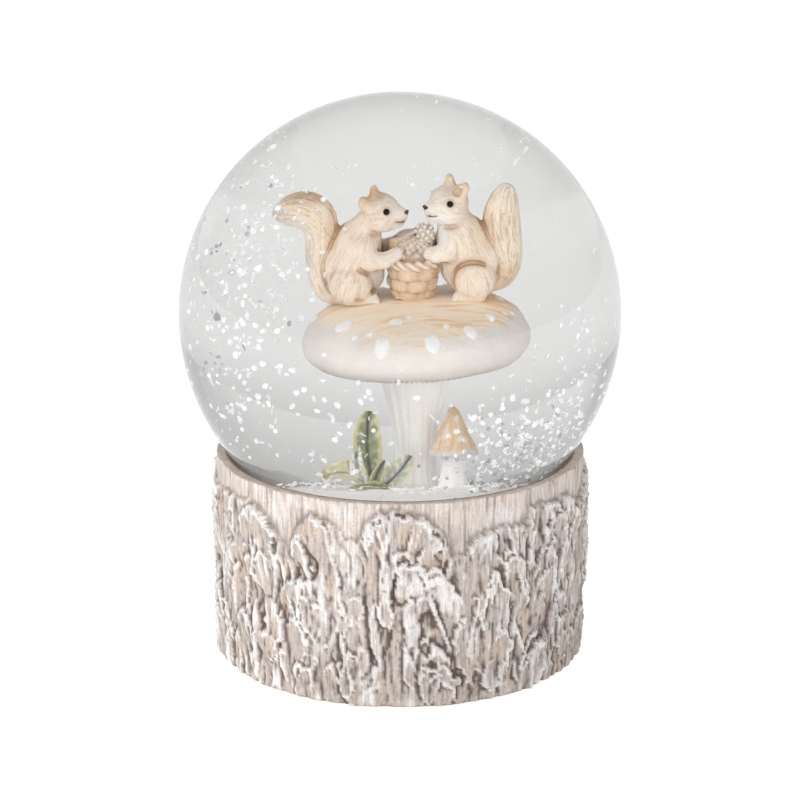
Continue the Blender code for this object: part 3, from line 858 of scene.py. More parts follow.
def painted_resin_look(name, gloss=0.55, grit_mm=0.05, glow=0.0):
    """Hand-painted cast resin: the painted colour, fine brush grain and a satin varnish.

    glow stands for the light that the snow and the glass gather on the lowest pieces.
    """
    look = Look(name, roughness=gloss, Specular_IOR_Level=0.4, Emission_Color=(1, 1, 1, 1),
                Emission_Strength=glow)
    grain = look.noise(3.0, 4)
    fine = look.noise(9.0, 3)
    colour = look.mix(1.0, look.paint(), look.ramp(grain, (0.3, 0.94), (0.65, 1.03)), "MULTIPLY")
    look.colour(colour)
    look.rough(fine, gloss - 0.08, gloss + 0.14)
    look.bump(fine, grit_mm, 0.6)
    return look.material


# ---------------------------------------------------------------- toadstool and ground

CREAM = pigment(236, 229, 222)
WHITE = pigment(246, 244, 242)
# Brown of the wash, also used for painted shade in creases, fur grooves and round the cap's spots
BROWN_WASH_AND_SHADE = pigment(172, 130, 88)
CAP_TAN = pigment(248, 230, 207)
CAP_ORANGE = pigment(238, 195, 140)

CAP_CENTRE = np.array((2.8, 0.0, 75.2))
CAP_TILT = math.radians(-2.5)
BRUSH_TURN = math.radians(10)   # the cap's brush strokes against the model's left to right
GILLS, GILL_DEPTH = 96, 0.22
CAP_OUTLINE = ((0, 6.2), (7, 6.0), (12, 5.3), (15.6, 4.0), (17.9, 2.1), (19.1, -0.4), (18.7, -2.7),
               (16.7, -4.3), (12.5, -5.1), (6, -5.35), (0, -5.4))
# Raised spots on the cap: bearing in degrees, reach from the axis, radius
CAP_SPOTS = (
    (-147, 14.8, 1.55), (-106, 11.5, 1.25), (-25, 14.6, 0.95), (-52, 16.3, 1.25), (-110, 17.4, 1.45),
    (-79, 17.1, 1.45), (-130, 16.6, 0.55), (-121, 15.6, 0.55), (-66, 14.1, 0.6), (-95, 9.4, 0.7),
    (-11, 15.6, 0.5), (-4, 16.4, 0.45), (150, 15.5, 1.3), (118, 12.5, 1.1), (96, 16.4, 1.4),
    (68, 13.6, 1.0), (44, 16.2, 1.3), (18, 14.4, 0.9), (172, 17.2, 0.8))
STEM_CENTRE, LITTLE_CENTRE, SPRIG_CENTRE = (2.5, 0.0), (9.2, -8.0), (-5.5, -9.8)
# Snow heaped round what stands in it: centre, how wide, how high
HEAPS = ((*STEM_CENTRE, 6.0, 0.5), (*SPRIG_CENTRE, 4.5, 0.5), (*LITTLE_CENTRE, 3.6, 0.6))
STEM_SINKS = 0.3               # how far the stems reach into the snow
ORANGE_PAINT, TIP_BROWN, FLUTE_BROWN = pigment(240, 208, 166), pigment(206, 176, 146), pigment(206, 192, 176)


def curve_through(points, steps):
    """Smooth curve through all the points."""
    points = np.asarray(points, float)
    points = np.vstack([2 * points[0] - points[1], points, 2 * points[-1] - points[-2]])
    curve = []
    for before, start, end, after in zip(points, points[1:], points[2:], points[3:]):
        for step in range(steps):
            t = step / steps
            bend = 2 * before - 5 * start + 4 * end - after
            twist = 3 * start - before - 3 * end + after
            curve.append(0.5 * (2 * start + (end - before) * t + bend * t ** 2 + twist * t ** 3))
    return np.array(curve + [points[-2]])


def turned_grid(profile, columns):
    """Points, outward normals and bearings of a grid round the axis."""
    slope = np.gradient(profile, axis=0)
    slope /= np.maximum(np.linalg.norm(slope, axis=1), 1e-9)[:, None]
    bearing = np.arange(columns) * TAU / columns
    spots = turned_rows(profile, columns)
    normals = turned_rows(np.column_stack([-slope[:, 1], slope[:, 0]]), columns)
    return spots, normals, np.tile(bearing, len(profile))


def turned_piece(name, profile, columns, shape, look):
    """Closed turned piece. shape(spots, normals, bearing) gives the finished points and colours."""
    profile = np.asarray(profile, float)
    body = profile.copy()
    body[0, 0] = body[-1, 0] = 0.02
    verts, colours = shape(*turned_grid(body, columns))
    ends = [verts[:columns].mean(0), verts[-columns:].mean(0)]
    end_colours = [colours[:columns].mean(0), colours[-columns:].mean(0)]
    return make_piece(name, np.vstack([verts, ends]), turned_faces(len(body), columns), look,
                      paint=np.vstack([colours, end_colours]))


def tilted(spots):
    """From the cap's own frame to the model's."""
    turn = np.array(Matrix.Rotation(CAP_TILT, 3, "Y"))
    return spots @ turn.T + CAP_CENTRE


def cap_spots(spots, above, rough):
    """Height and whiteness of the raised spots."""
    lift, white = np.zeros(len(spots)), np.zeros(len(spots))
    for degrees, out, radius in CAP_SPOTS:
        turn = math.radians(degrees)
        wobble = 1 + 0.12 * rough.perlin(spots / 1.1 + degrees)
        centre = (out * math.cos(turn), out * math.sin(turn))
        gap = np.hypot(spots[:, 0] - centre[0], spots[:, 1] - centre[1]) / (radius * wobble)
        dome = np.sqrt(np.clip(1 - gap ** 2, 0, 1)) * above
        lift = np.maximum(lift, (0.16 + 0.22 * radius) * dome ** 0.8)
        white = np.maximum(white, smooth(1.06 - gap, 0.0, 0.10) * above)
    return lift, white


def mushroom_cap():
    """Thick cap: cream rim, brushed tan crown with a ragged edge, raised white spots, gills below."""
    rough = Noise(21)

    def shape(spots, normals, bearing):
        reach = np.hypot(spots[:, 0], spots[:, 1])
        above = spots[:, 2] > 0.0
        bend = spots + 1.2 * np.stack([rough.perlin(spots / 8.0 + shift) for shift in (1, 5, 9)], 1)
        lengthwise = bend[:, 0] * math.cos(BRUSH_TURN) + bend[:, 1] * math.sin(BRUSH_TURN)
        crosswise = bend[:, 1] * math.cos(BRUSH_TURN) - bend[:, 0] * math.sin(BRUSH_TURN)
        flat = np.zeros(len(spots))
        brush = rough.fractal(np.column_stack([lengthwise / 9.0, crosswise / 1.3, flat]), 3)
        fine_strokes = rough.fractal(np.column_stack([lengthwise / 4.0, crosswise / 0.42, flat + 7]), 2)
        edge = 16.9 + 0.9 * rough.perlin(spots / 6.0 + 8) + 1.5 * brush + 1.3 * fine_strokes
        tan = smooth(edge - reach, -0.3, 1.1) * above
        lift, white = cap_spots(spots, above, rough)
        gills = (spots[:, 2] < -4.2) * smooth(17.5 - reach, 0, 1.5) * smooth(reach, 5.0, 7.0)
        relief = lift + 0.10 * tan * brush * (1 - white) + 0.05 * fine_strokes * tan
        relief += 0.07 * rough.fractal(spots / 2.2, 3) + 0.18 * rough.perlin(spots / 7.0 + 5)
        relief += GILL_DEPTH * gills * np.cos(GILLS * bearing)

        orange = smooth(brush + 0.25 * smooth(spots[:, 0], -6, 8) - 0.1, 0.05, 0.75)
        pale = smooth(-brush + 0.3 * fine_strokes, 0.15, 0.8)
        crown = dabbed(CAP_TAN, CAP_ORANGE, 0.8 * orange)
        crown = dabbed(crown, CREAM, 0.6 * pale)
        rim = CREAM * (1 + 0.03 * rough.fractal(spots / 3.0, 2))[:, None] * 0.97
        colour = dabbed(rim, crown, tan)
        # Brown wash and painted shade round the foot of each raised spot
        near_spot = np.clip(white * (1 - smooth(lift, 0.0, 0.10)), 0, 1)[:, None]
        colour += (WHITE - colour) * white[:, None] + (BROWN_WASH_AND_SHADE - colour) * 0.30 * near_spot
        # Painted shade: the grooves between the gills are darker
        colour *= (1 - 0.25 * gills * (np.cos(GILLS * bearing) < 0))[:, None]
        return tilted(spots + normals * relief[:, None]), np.clip(colour, 0, 1)

    look = painted_resin_look("cap_paint", 0.5)
    cap = turned_piece("toadstool_cap", curve_through(CAP_OUTLINE, 16), 440, shape, look)
    stand_for(cap, "globe", "cream_resin", "mushroom_cap")


def fluted_stem(name, node, profile, columns, centre, flutes, depth, look):
    """White stem with uneven grooves down its length, browned a little where they are deep.

    flutes is how many grooves there are, and depth how deep they go.
    """
    rough = Noise(len(name))

    def shape(spots, normals, bearing):
        ribs = rough.fractal(np.column_stack([round_axis(bearing) * flutes / 5.0, spots[:, 2] / 16.0]), 3)
        lumps = rough.fractal(spots / 3.0, 2)
        relief = depth * ribs + 0.10 * lumps
        browned = 0.30 * smooth(-ribs, 0.1, 0.7) + 0.08 * smooth(lumps, 0, 0.6)
        return spots + normals * relief[:, None] + (*centre, 0), dabbed(WHITE, FLUTE_BROWN, browned)

    stem = turned_piece(name, curve_through(profile, 10), columns, shape, look)
    stand_for(stem, "globe", "white_resin", node)


def mushroom_stem(look):
    """The toadstool's stem: flared under the cap, thin above the ground, with a swollen foot."""
    top = cad_box("mushroom_stem")[1][2]
    foot = GROUND_TOP - STEM_SINKS
    profile = ((0, top), (4.4, top), (5.9, top - 0.4), (5.5, top - 2), (4.7, top - 5), (3.8, top - 9),
               (3.4, top - 13), (3.3, top - 16), (3.7, foot + 0.8), (4.3, foot), (2.0, foot - 0.2),
               (0, foot - 0.2))
    fluted_stem("toadstool_stem", "mushroom_stem", profile, 200, STEM_CENTRE, 30, 0.24, look)


def snow_ground():
    """Drifted snow that fills the ball's floor, heaped a little at the stem and the leaves."""
    low, high = cad_box("snow_ground")
    rough = Noise(31)
    top, foot = high[2], low[2]
    profile = ((0, top), (6, top), (12, top - 0.05), (17, top - 0.3), (20.5, top - 1.2), (22.4, top - 2.8),
               (23, top - 5.5), (23, foot + 1.0), (22.6, foot + 0.1), (12, foot), (0, foot))

    def shape(spots, normals, _bearing):
        above = smooth(spots[:, 2], top - 4.0, top - 1.5)
        drift = 0.45 * rough.perlin(spots / 7.0) + 0.18 * rough.fractal(spots / 2.2 + 4, 3)
        heap = 0.0
        for x, y, size, rise in HEAPS:
            heap = heap + rise * np.exp(-((spots[:, 0] - x) ** 2 + (spots[:, 1] - y) ** 2) / size ** 2)
        relief = above * (drift + heap - 0.3)
        colour = WHITE * (0.97 + 0.06 * drift)[:, None]
        return spots + normals * relief[:, None], np.clip(colour, 0, 1)

    # The snow glows a little: painted light for the light that the ball gathers on its floor
    look = Look("snow_ground", roughness=0.7, Specular_IOR_Level=0.4, Emission_Color=(1, 1, 1, 1),
                Emission_Strength=0.12)
    grains = look.noise(2.6, 5)
    sparkle = look.noise(6.0, 2, kind="ShaderNodeTexVoronoi")
    look.colour(look.mix(1.0, look.paint(), look.ramp(grains, (0.3, 0.92), (0.6, 1.0)), "MULTIPLY"))
    look.bump(grains, 0.15, 0.7)
    look.bump(sparkle, 0.05, 0.4)
    ground = turned_piece("snow_drift", curve_through(profile, 9), 300, shape, look.material)
    stand_for(ground, "globe", "white_resin", "snow_ground")


def little_mushroom(stem_look):
    """Small mushroom with a pointed orange cap, dabbed with white."""
    low, high = cad_box("little_mushroom_cap")
    foot = GROUND_TOP - STEM_SINKS
    edge = low[2]
    stem = ((0, edge + 0.2), (1.4, edge + 0.2), (2.3, edge), (2.15, edge - 2), (2.3, edge - 4),
            (2.8, foot + 0.6), (3.4, foot), (1.4, foot - 0.2), (0, foot - 0.2))
    fluted_stem("little_stem", "little_mushroom_stem", stem, 110, LITTLE_CENTRE, 12, 0.16, stem_look)
    height = high[2] - edge
    outside = ((0, 1.0), (0.55, 0.97), (1.1, 0.88), (1.9, 0.66), (3.0, 0.36), (4.1, 0.10), (4.35, 0.02))
    inside = ((4.0, edge - 0.25), (2.8, edge + 0.05), (1.2, edge + 0.4), (0, edge + 0.4))
    profile = [(radius, edge + share * height) for radius, share in outside] + list(inside)
    rough = Noise(41)

    def shape(spots, normals, bearing):
        share = (spots[:, 2] - edge) / height
        strokes = rough.fractal(np.column_stack([round_axis(bearing) * 5.0, spots[:, 2] / 3.0]), 3)
        dabs = smooth(rough.fractal(spots / 1.5 + 3.0, 2), 0.05, 0.60) * smooth(share, 0.08, 0.2)
        colour = ORANGE_PAINT * (1 + 0.18 * strokes)[:, None]
        colour = dabbed(colour, TIP_BROWN, 0.6 * smooth(share, 0.72, 0.95))
        colour = dabbed(colour, WHITE, 0.75 * dabs)
        colour = dabbed(colour, CREAM, smooth(0.14 - share, 0.0, 0.08))
        relief = 0.07 * strokes + 0.09 * dabs + 0.06 * rough.fractal(spots / 0.9, 2)
        return spots + normals * relief[:, None] + (*LITTLE_CENTRE, 0), np.clip(colour, 0, 1)

    look = painted_resin_look("orange_cap_paint", 0.5)
    cap = turned_piece("little_cap", curve_through(profile, 9), 150, shape, look)
    stand_for(cap, "globe", "orange_paint", "little_mushroom_cap")


# ---------------------------------------------------------------- squirrels

HEAD_TAN = pigment(244, 231, 217)
MUZZLE = pigment(247, 240, 231)
CHEEK = pigment(247, 233, 219)
EYE_RING = pigment(240, 226, 211)
MOUTH = pigment(104, 64, 38)
EAR = pigment(240, 217, 188)
EAR_INSIDE = pigment(232, 202, 168)
BODY = pigment(250, 236, 219)
LIMB_PALE = pigment(249, 239, 228)
# Grey of the belly and the knee: painted shade
BELLY_SHADE = pigment(220, 213, 206)
TAIL = pigment(248, 233, 213)
TOE = pigment(249, 245, 240)
THIGH_GROOVE_SHADE = pigment(190, 150, 110)
CREAM_FUR, TAN_FUR, WHITE_FUR = pigment(247, 241, 234), pigment(214, 182, 146), pigment(246, 243, 238)
# Tan in the recess at the foot of the body: painted shade
FOOT_RECESS_SHADE = pigment(206, 176, 136)
EYE_BLACK, NOSE_BROWN = linear(9, 7, 6), linear(84, 50, 32)
FIGURE_CELL = 0.17              # size of the quads on their skin
DOWN_BACK = (-0.25, 0, -1)      # the way the hair lies on the limbs
FINGERS, TOES = (-0.62, -0.2, 0.22, 0.64), (-0.65, 0.0, 0.65)    # where they sit across paw and foot
EYE_RADIUS = 0.52


class Pose:
    """Places on a seated squirrel, as (forward, side, up) from the seat, turned into the model's frame."""

    def __init__(self, seat, facing):
        self.seat, self.facing = np.array(seat, float), facing

    def at(self, forward, side, up):
        """A place."""
        return self.seat + (self.facing * forward, side, up)

    def way(self, forward, side, up):
        """A direction."""
        return np.array((self.facing * forward, side, up), float)


def tail_limbs(clay, pose, stations, colour):
    """Bushy tail: a chain of limbs through the stations, each a (forward, side, up, radius)."""
    curve = curve_through(stations, 3)
    for start, end in zip(curve, curve[1:]):
        clay.limb(pose.at(*start[:3]), pose.at(*end[:3]), (start[3], end[3]), colour, soft=0.8,
                  thin=((0, 1, 0), 0.8), spread=0.75, fur=1.8)


def head_limbs(clay, pose, skull, radius, yaw, eye_turn, eye_up, ears):
    """Head turned by yaw towards the viewer, with muzzle, cheeks, eye sockets and ears."""
    ahead = pose.way(math.cos(yaw), -math.sin(yaw), 0)
    aside = pose.way(math.sin(yaw), math.cos(yaw), 0)
    centre = pose.at(*skull)
    back = -ahead + (0, 0, -0.35)

    def place(forward, side, rise):
        return centre + ahead * forward + aside * side + UP * rise

    clay.ball(centre, radius, HEAD_TAN, soft=0.9, thin=(aside, 0.95), comb=back)
    clay.limb(place(1.5, 0, -0.45), place(3.0, 0, -0.55), (2.3, 1.65), MUZZLE, soft=1.0, comb=back, fur=0.5)
    clay.limb(place(3.0, 0, -0.40), place(3.65, 0, -0.30), (1.45, 1.05), MUZZLE, soft=0.6, comb=back, fur=0.3)
    clay.limb(place(1.6, 0, -1.9), place(3.2, 0, -1.75), (1.6, 0.95), MUZZLE, soft=0.7, comb=back, fur=0.4)
    eyes = []
    for side in (-1, 1):
        clay.ball(place(0.4, side * 1.5, -1.2), 1.95, CHEEK, soft=0.9, comb=back)
        clay.ball(place(3.35, side * 0.55, -0.80), 0.80, MUZZLE, soft=0.4, comb=back, fur=0.2)
        turn = side * eye_turn
        look_out = ahead * math.cos(turn) + aside * math.sin(turn)
        eye = centre + look_out * (radius * 0.90) + UP * eye_up
        outward = unit(eye - centre)
        clay.ball(eye + outward * 0.05, 0.80, EYE_RING, soft=0.35, comb=back, fur=0.2)
        clay.ball(eye + outward * 0.55, 0.62, EYE_RING, soft=0.15, carve=True, fur=0.0)
        eyes.append(eye + outward * 0.22)
    clay.limb(place(4.12, -0.8, -1.30), place(4.12, 0.8, -1.30), 0.19, MOUTH, soft=0.15, carve=True, fur=0.0)
    for side in (-1, 1):
        clay.limb(place(3.30, side * 1.45, -1.22), place(4.12, side * 0.8, -1.30), 0.17, MOUTH, soft=0.15,
                  carve=True, fur=0.0)
    for forward, side, rise, base_radius, tip_radius, height, hollow in ears:
        tip = pose.at(forward, side, rise)
        root = tip + (centre - tip) * (height / np.linalg.norm(centre - tip))
        clay.limb(root, tip, (base_radius, tip_radius), EAR, soft=0.6, thin=(ahead, 0.62), comb=tip - root,
                  fur=0.5)
        if hollow:
            front = ahead * hollow
            clay.limb(root * 0.45 + tip * 0.55 + front, tip + front - unit(tip - root) * tip_radius * 0.5,
                      (base_radius * 0.5, tip_radius * 0.55), EAR_INSIDE, soft=0.4, carve=True, fur=0.2)
    return eyes, place(4.62, 0, 0.12), ahead, aside


def thigh_line(clay, pose, side, turns):
    """Groove round the front of a thigh, laid on the surface from one turn to the other, in degrees, and
    coloured brown as painted shade.
    """
    places = []
    for turn in np.radians(np.arange(turns[0], turns[1] + 1, 12)):
        start = pose.at(-0.1 + 3.45 * math.cos(turn), side * 8.0, 4.1 + 3.45 * math.sin(turn))
        for _ in range(24):
            start = start - (0, side * 0.7 * clay.field(start[None])[0], 0)
        places.append(start)
    for start, end in zip(places, places[1:]):
        clay.limb(start, end, 0.26, THIGH_GROOVE_SHADE, soft=0.35, carve=True, fur=0.2)


def leg(clay, pose, side, reach, lift):
    """Round thigh, and a foot with three toes."""
    clay.ball(pose.at(-0.1, side * 3.0, 4.1), 3.6, BODY, soft=0.2, thin=((0, 1, 0), 0.70),
              comb=pose.way(*DOWN_BACK), spread=0.9, fur=1.2)
    clay.limb(pose.at(reach - 3.2, side * 2.9, lift), pose.at(reach, side * 3.1, lift), (1.35, 1.05),
              LIMB_PALE, soft=0.4, comb=pose.way(1, 0, 0), fur=0.5)
    for toe in TOES:
        root = pose.at(reach, side * 3.1 + toe, lift - 0.1)
        tip = pose.at(reach + 0.8, side * 3.15 + toe * 1.15, lift - 0.35)
        clay.limb(root, tip, (0.5, 0.4), TOE, soft=0.15, fur=0.0)


def squirrel(name, node, pose, torso, head, arm, foot, tail, patches, seed, tone, thigh=None):
    """Seated squirrel. torso and tail are chains of stations; the rest is built on both sides.

    tone is painted shade that darkens the whole paint, and thigh is the span of the groove round the thigh,
    in degrees.
    """
    clay = Clay()
    for start, end in zip(torso, torso[1:]):
        clay.limb(pose.at(*start[:3]), pose.at(*end[:3]), (start[3], end[3]), BODY, soft=1.4,
                  thin=((0, 1, 0), 0.86), comb=pose.way(-0.45, 0, -1), spread=0.0)
    # Belly in painted shade grey
    clay.ball(pose.at(3.0, 0, 5.0), 2.5, BELLY_SHADE, soft=1.6, comb=(0, 0, -1), fur=0.6)
    tail_limbs(clay, pose, tail, TAIL)
    for side in (-1, 1):
        leg(clay, pose, side, *foot)
        shoulder, elbow, wrist, paw = ([place[0], side * place[1], place[2]] for place in arm)
        clay.limb(pose.at(*shoulder), pose.at(*elbow), (2.2, 1.75), BODY, soft=0.9, comb=pose.way(*DOWN_BACK))
        clay.limb(pose.at(*elbow), pose.at(*wrist), (1.75, 1.4), LIMB_PALE, soft=0.4, fur=0.9)
        clay.limb(pose.at(*wrist), pose.at(*paw), (1.35, 1.15), LIMB_PALE, soft=0.4, fur=0.6)
        for finger in FINGERS:
            root = pose.at(paw[0] + 0.3, paw[1] + side * 0.2 * abs(finger), paw[2] + finger)
            clay.limb(root, root + pose.way(1.0, -side * 0.75, -0.25), (0.36, 0.27), TOE, soft=0.12, fur=0.0)
    if thigh:
        for side in (-1, 1):
            thigh_line(clay, pose, side, thigh)
    eyes, nose, ahead, aside = head_limbs(clay, pose, *head)
    for centre, reach, colour, amount in patches:
        clay.patch(pose.at(*centre), reach, colour, amount)

    verts, faces, normals = clay.skin(FIGURE_CELL)
    colour, flow, fur = clay.coat(verts)
    # Painted shade: creases where the limbs meet are found by how shut in each point is and get the brown of
    # the wash
    open_space = clay.field(verts + normals * 0.9) / 0.9
    crease = smooth(1 - open_space, 0.10, 0.60)
    hair = combed(verts, normals, flow, 0.30, 1.6, seed)
    locks = combed(verts, normals, flow, (0.95, 0.95, 0.95), 3.6, seed + 1)
    groove = smooth(-hair, 0.35, 1.5) * fur
    depth = 0.10 * groove + 0.14 * smooth(-locks, 0.2, 1.4) * np.clip(fur - 0.6, 0, 1)
    verts = verts - normals * depth[:, None]
    # Brown wash and painted shade in the hair's grooves; white drybrush and painted highlight on its ridges
    colour = dabbed(colour, BROWN_WASH_AND_SHADE, np.clip(0.20 * groove + 0.12 * smooth(-locks, 0.3, 1.6) * fur, 0, 0.5))
    colour = dabbed(colour, WHITE, 0.22 * smooth(hair, 0.5, 1.8) * fur)
    # tone: painted shade over the whole paint, deepest on the left squirrel
    colour = dabbed(colour, BROWN_WASH_AND_SHADE, 0.78 * crease) * np.array(tone)
    body = make_piece(name, verts, faces, painted_resin_look(name + "_paint"), paint=np.clip(colour, 0, 1))
    stand_for(body, "globe", "squirrel_paint", node)
    face_beads(name, eyes, nose, ahead, aside)


def bead(centre, axes, radii, steps=16):
    """Points and faces of a small round bead with its own axes."""
    profile = arc(1.0, 0, 180, steps // 2)
    verts, faces = lathe(profile, steps)
    frame_axes = np.array([unit(axis) for axis in axes]) * np.array(radii)[:, None]
    return verts @ frame_axes + centre, faces


def joined(shapes):
    """One mesh from several (verts, faces) shapes."""
    verts, faces, start = [], [], 0
    for points, quads in shapes:
        verts.append(points)
        faces += [tuple(int(i) + start for i in quad) for quad in quads]
        start += len(points)
    return np.concatenate(verts), faces


def face_beads(name, eyes, nose, ahead, aside):
    """Glossy black eyes and a heart-shaped nose."""
    axes = (aside, ahead, UP)
    shapes = [bead(place, axes, (EYE_RADIUS,) * 3) for place in eyes]
    gloss = Look(name + "_eye_gloss", EYE_BLACK, 0.2, Specular_IOR_Level=0.15)
    gloss.rough(gloss.noise(2.0), 0.15, 0.3)
    stand_for(make_piece(name + "_eyes", *joined(shapes), gloss.material), "globe", "squirrel_paint")
    lobes = [bead(nose + aside * side * 0.28 + UP * 0.08, axes, (0.40, 0.38, 0.30)) for side in (-1, 1)]
    lobes.append(bead(nose - UP * 0.18, axes, (0.26, 0.34, 0.36)))
    skin = Look(name + "_nose_paint", NOSE_BROWN, 0.4)
    skin.rough(skin.noise(4.0), 0.28, 0.5)
    stand_for(make_piece(name + "_nose", *joined(lobes), skin.material), "globe", "squirrel_paint")


def squirrels():
    """Two squirrels face each other over the basket: a curled tail on the left, an upright one on the right.

    Stations are (forward, side, up, radius); patches are (place, reach, colour, amount); ears are
    (forward, side, up, root radius, tip radius, length, how far forward the hollow lies, or 0 for none).
    """
    squirrel("left_squirrel", "squirrel_left", Pose((-8.2, 3.5, 79.9), 1),
             torso=((0, 0, 4.1, 4.1), (0.2, 0, 7.1, 4.55), (0.9, 0, 10.4, 3.9), (2.5, -0.2, 13.6, 2.7)),
             head=((4.8, -0.3, 16.5), 3.25, math.radians(14), math.radians(57), 0.85,
                   ((1.7, -1.9, 18.6, 1.5, 1.15, 1.3, 0), (3.7, 0.4, 19.8, 1.9, 1.15, 1.5, 0))),
             arm=((1.9, 2.5, 10.7), (2.9, 3.6, 8.6), (5.4, 3.6, 8.6), (7.6, 3.2, 9.7)),
             foot=(3.6, 1.7),
             tail=((-1.5, 0.5, 1.6, 1.5), (-3.7, 0.8, 1.6, 1.3), (-4.7, 0.8, 2.9, 1.35),
                   (-5.4, 0.8, 5.2, 1.5), (-5.5, 0.8, 8.0, 1.85), (-5.1, 0.8, 11.2, 2.4),
                   (-5.4, 0.8, 14.1, 2.8), (-7.0, 0.8, 16.1, 3.0), (-9.3, 0.8, 16.5, 2.7),
                   (-11.3, 0.8, 16.1, 1.9), (-12.7, 0.8, 16.0, 0.7)),
             patches=(((-8.4, 0.8, 7.0), (2.4, 4.0, 8.0), CREAM_FUR, 0.85),
                      ((-12.0, 0.8, 14.6), (4.2, 4.0, 2.6), CREAM_FUR, 0.8),
                      ((-8.0, 0.8, 19.8), (5.6, 4.0, 2.2), TAN_FUR, 0.55),
                      ((-3.4, 0.8, 13.6), (1.4, 4.0, 4.5), TAN_FUR, 0.5),
                      ((3.6, -0.3, 19.6), (2.2, 2.6, 1.1), TAN_FUR, 0.6),
                      # Painted shade on the knee
                      ((3.9, 0, 5.2), (1.7, 7.0, 2.3), BELLY_SHADE, 0.85),
                      # Painted shade in the recess by the feet
                      ((1.2, 0, 1.9), (1.3, 7.0, 0.6), FOOT_RECESS_SHADE, 0.7)),
             seed=51, tone=(0.90, 0.87, 0.84))
    squirrel("right_squirrel", "squirrel_right", Pose((12.4, 3.5, 80.9), -1),
             torso=((0, 0, 4.1, 4.1), (0.4, 0, 7.3, 4.6), (1.9, 0, 10.6, 4.2), (3.1, -0.1, 13.4, 2.8)),
             head=((4.0, -0.4, 16.9), 3.45, math.radians(30), math.radians(66), 1.1,
                   ((0.9, -1.9, 20.6, 1.7, 0.95, 2.0, 1.05), (3.8, 0.8, 20.9, 2.0, 1.15, 2.2, 0))),
             arm=((3.2, 2.5, 11.1), (4.4, 3.4, 9.3), (6.2, 3.3, 8.6), (7.4, 2.8, 8.6)),
             foot=(2.4, 1.1),
             tail=((-1.5, 0.5, 3.0, 1.5), (-3.8, 0.6, 3.1, 1.5), (-5.0, 0.6, 4.3, 1.75),
                   (-5.5, 0.6, 6.4, 2.15), (-5.3, 0.6, 9.2, 2.6), (-4.9, 0.6, 12.4, 2.9),
                   (-5.0, 0.6, 15.2, 2.7), (-5.6, 0.6, 17.8, 2.0), (-6.1, 0.6, 19.3, 1.1)),
             patches=(((5.6, -1.5, 12.4), (2.6, 4.4, 3.6), WHITE_FUR, 0.9),
                      ((4.9, -2.0, 15.2), (2.2, 3.0, 1.3), WHITE_FUR, 0.7),
                      ((-6.4, 0.6, 20.6), (2.2, 4.0, 1.6), CREAM_FUR, 0.7),
                      ((-1.5, 0, 12.0), (3.0, 4.5, 4.5), TAN_FUR, 0.35),
                      ((-5.4, 0.6, 3.6), (3.2, 4.0, 3.0), TAN_FUR, 0.45)),
             seed=61, tone=(0.94, 0.93, 0.91), thigh=(-20, 125))


# ---------------------------------------------------------------- basket of nuts

BASKET_CENTRE = np.array((2.15, 3.5))
BASKET_RIM = 88.2
BASKET_FOOT = 81.3
GOLDEN_ANGLE = math.pi * (3 - math.sqrt(5))
# The stained cane colour is laid thicker on the right of the basket as painted shade
CANE, STAINED_AND_SHADED_CANE, CANE_GAP = pigment(226, 200, 172), pigment(210, 176, 140), pigment(168, 130, 94)
NUT_BROWNS = [pigment(*rgb) for rgb in ((214, 192, 170), (198, 170, 144), (224, 210, 196), (182, 152, 126),
                                        (216, 194, 164), (230, 222, 212))]
NUT_SHADE = pigment(140, 112, 88)


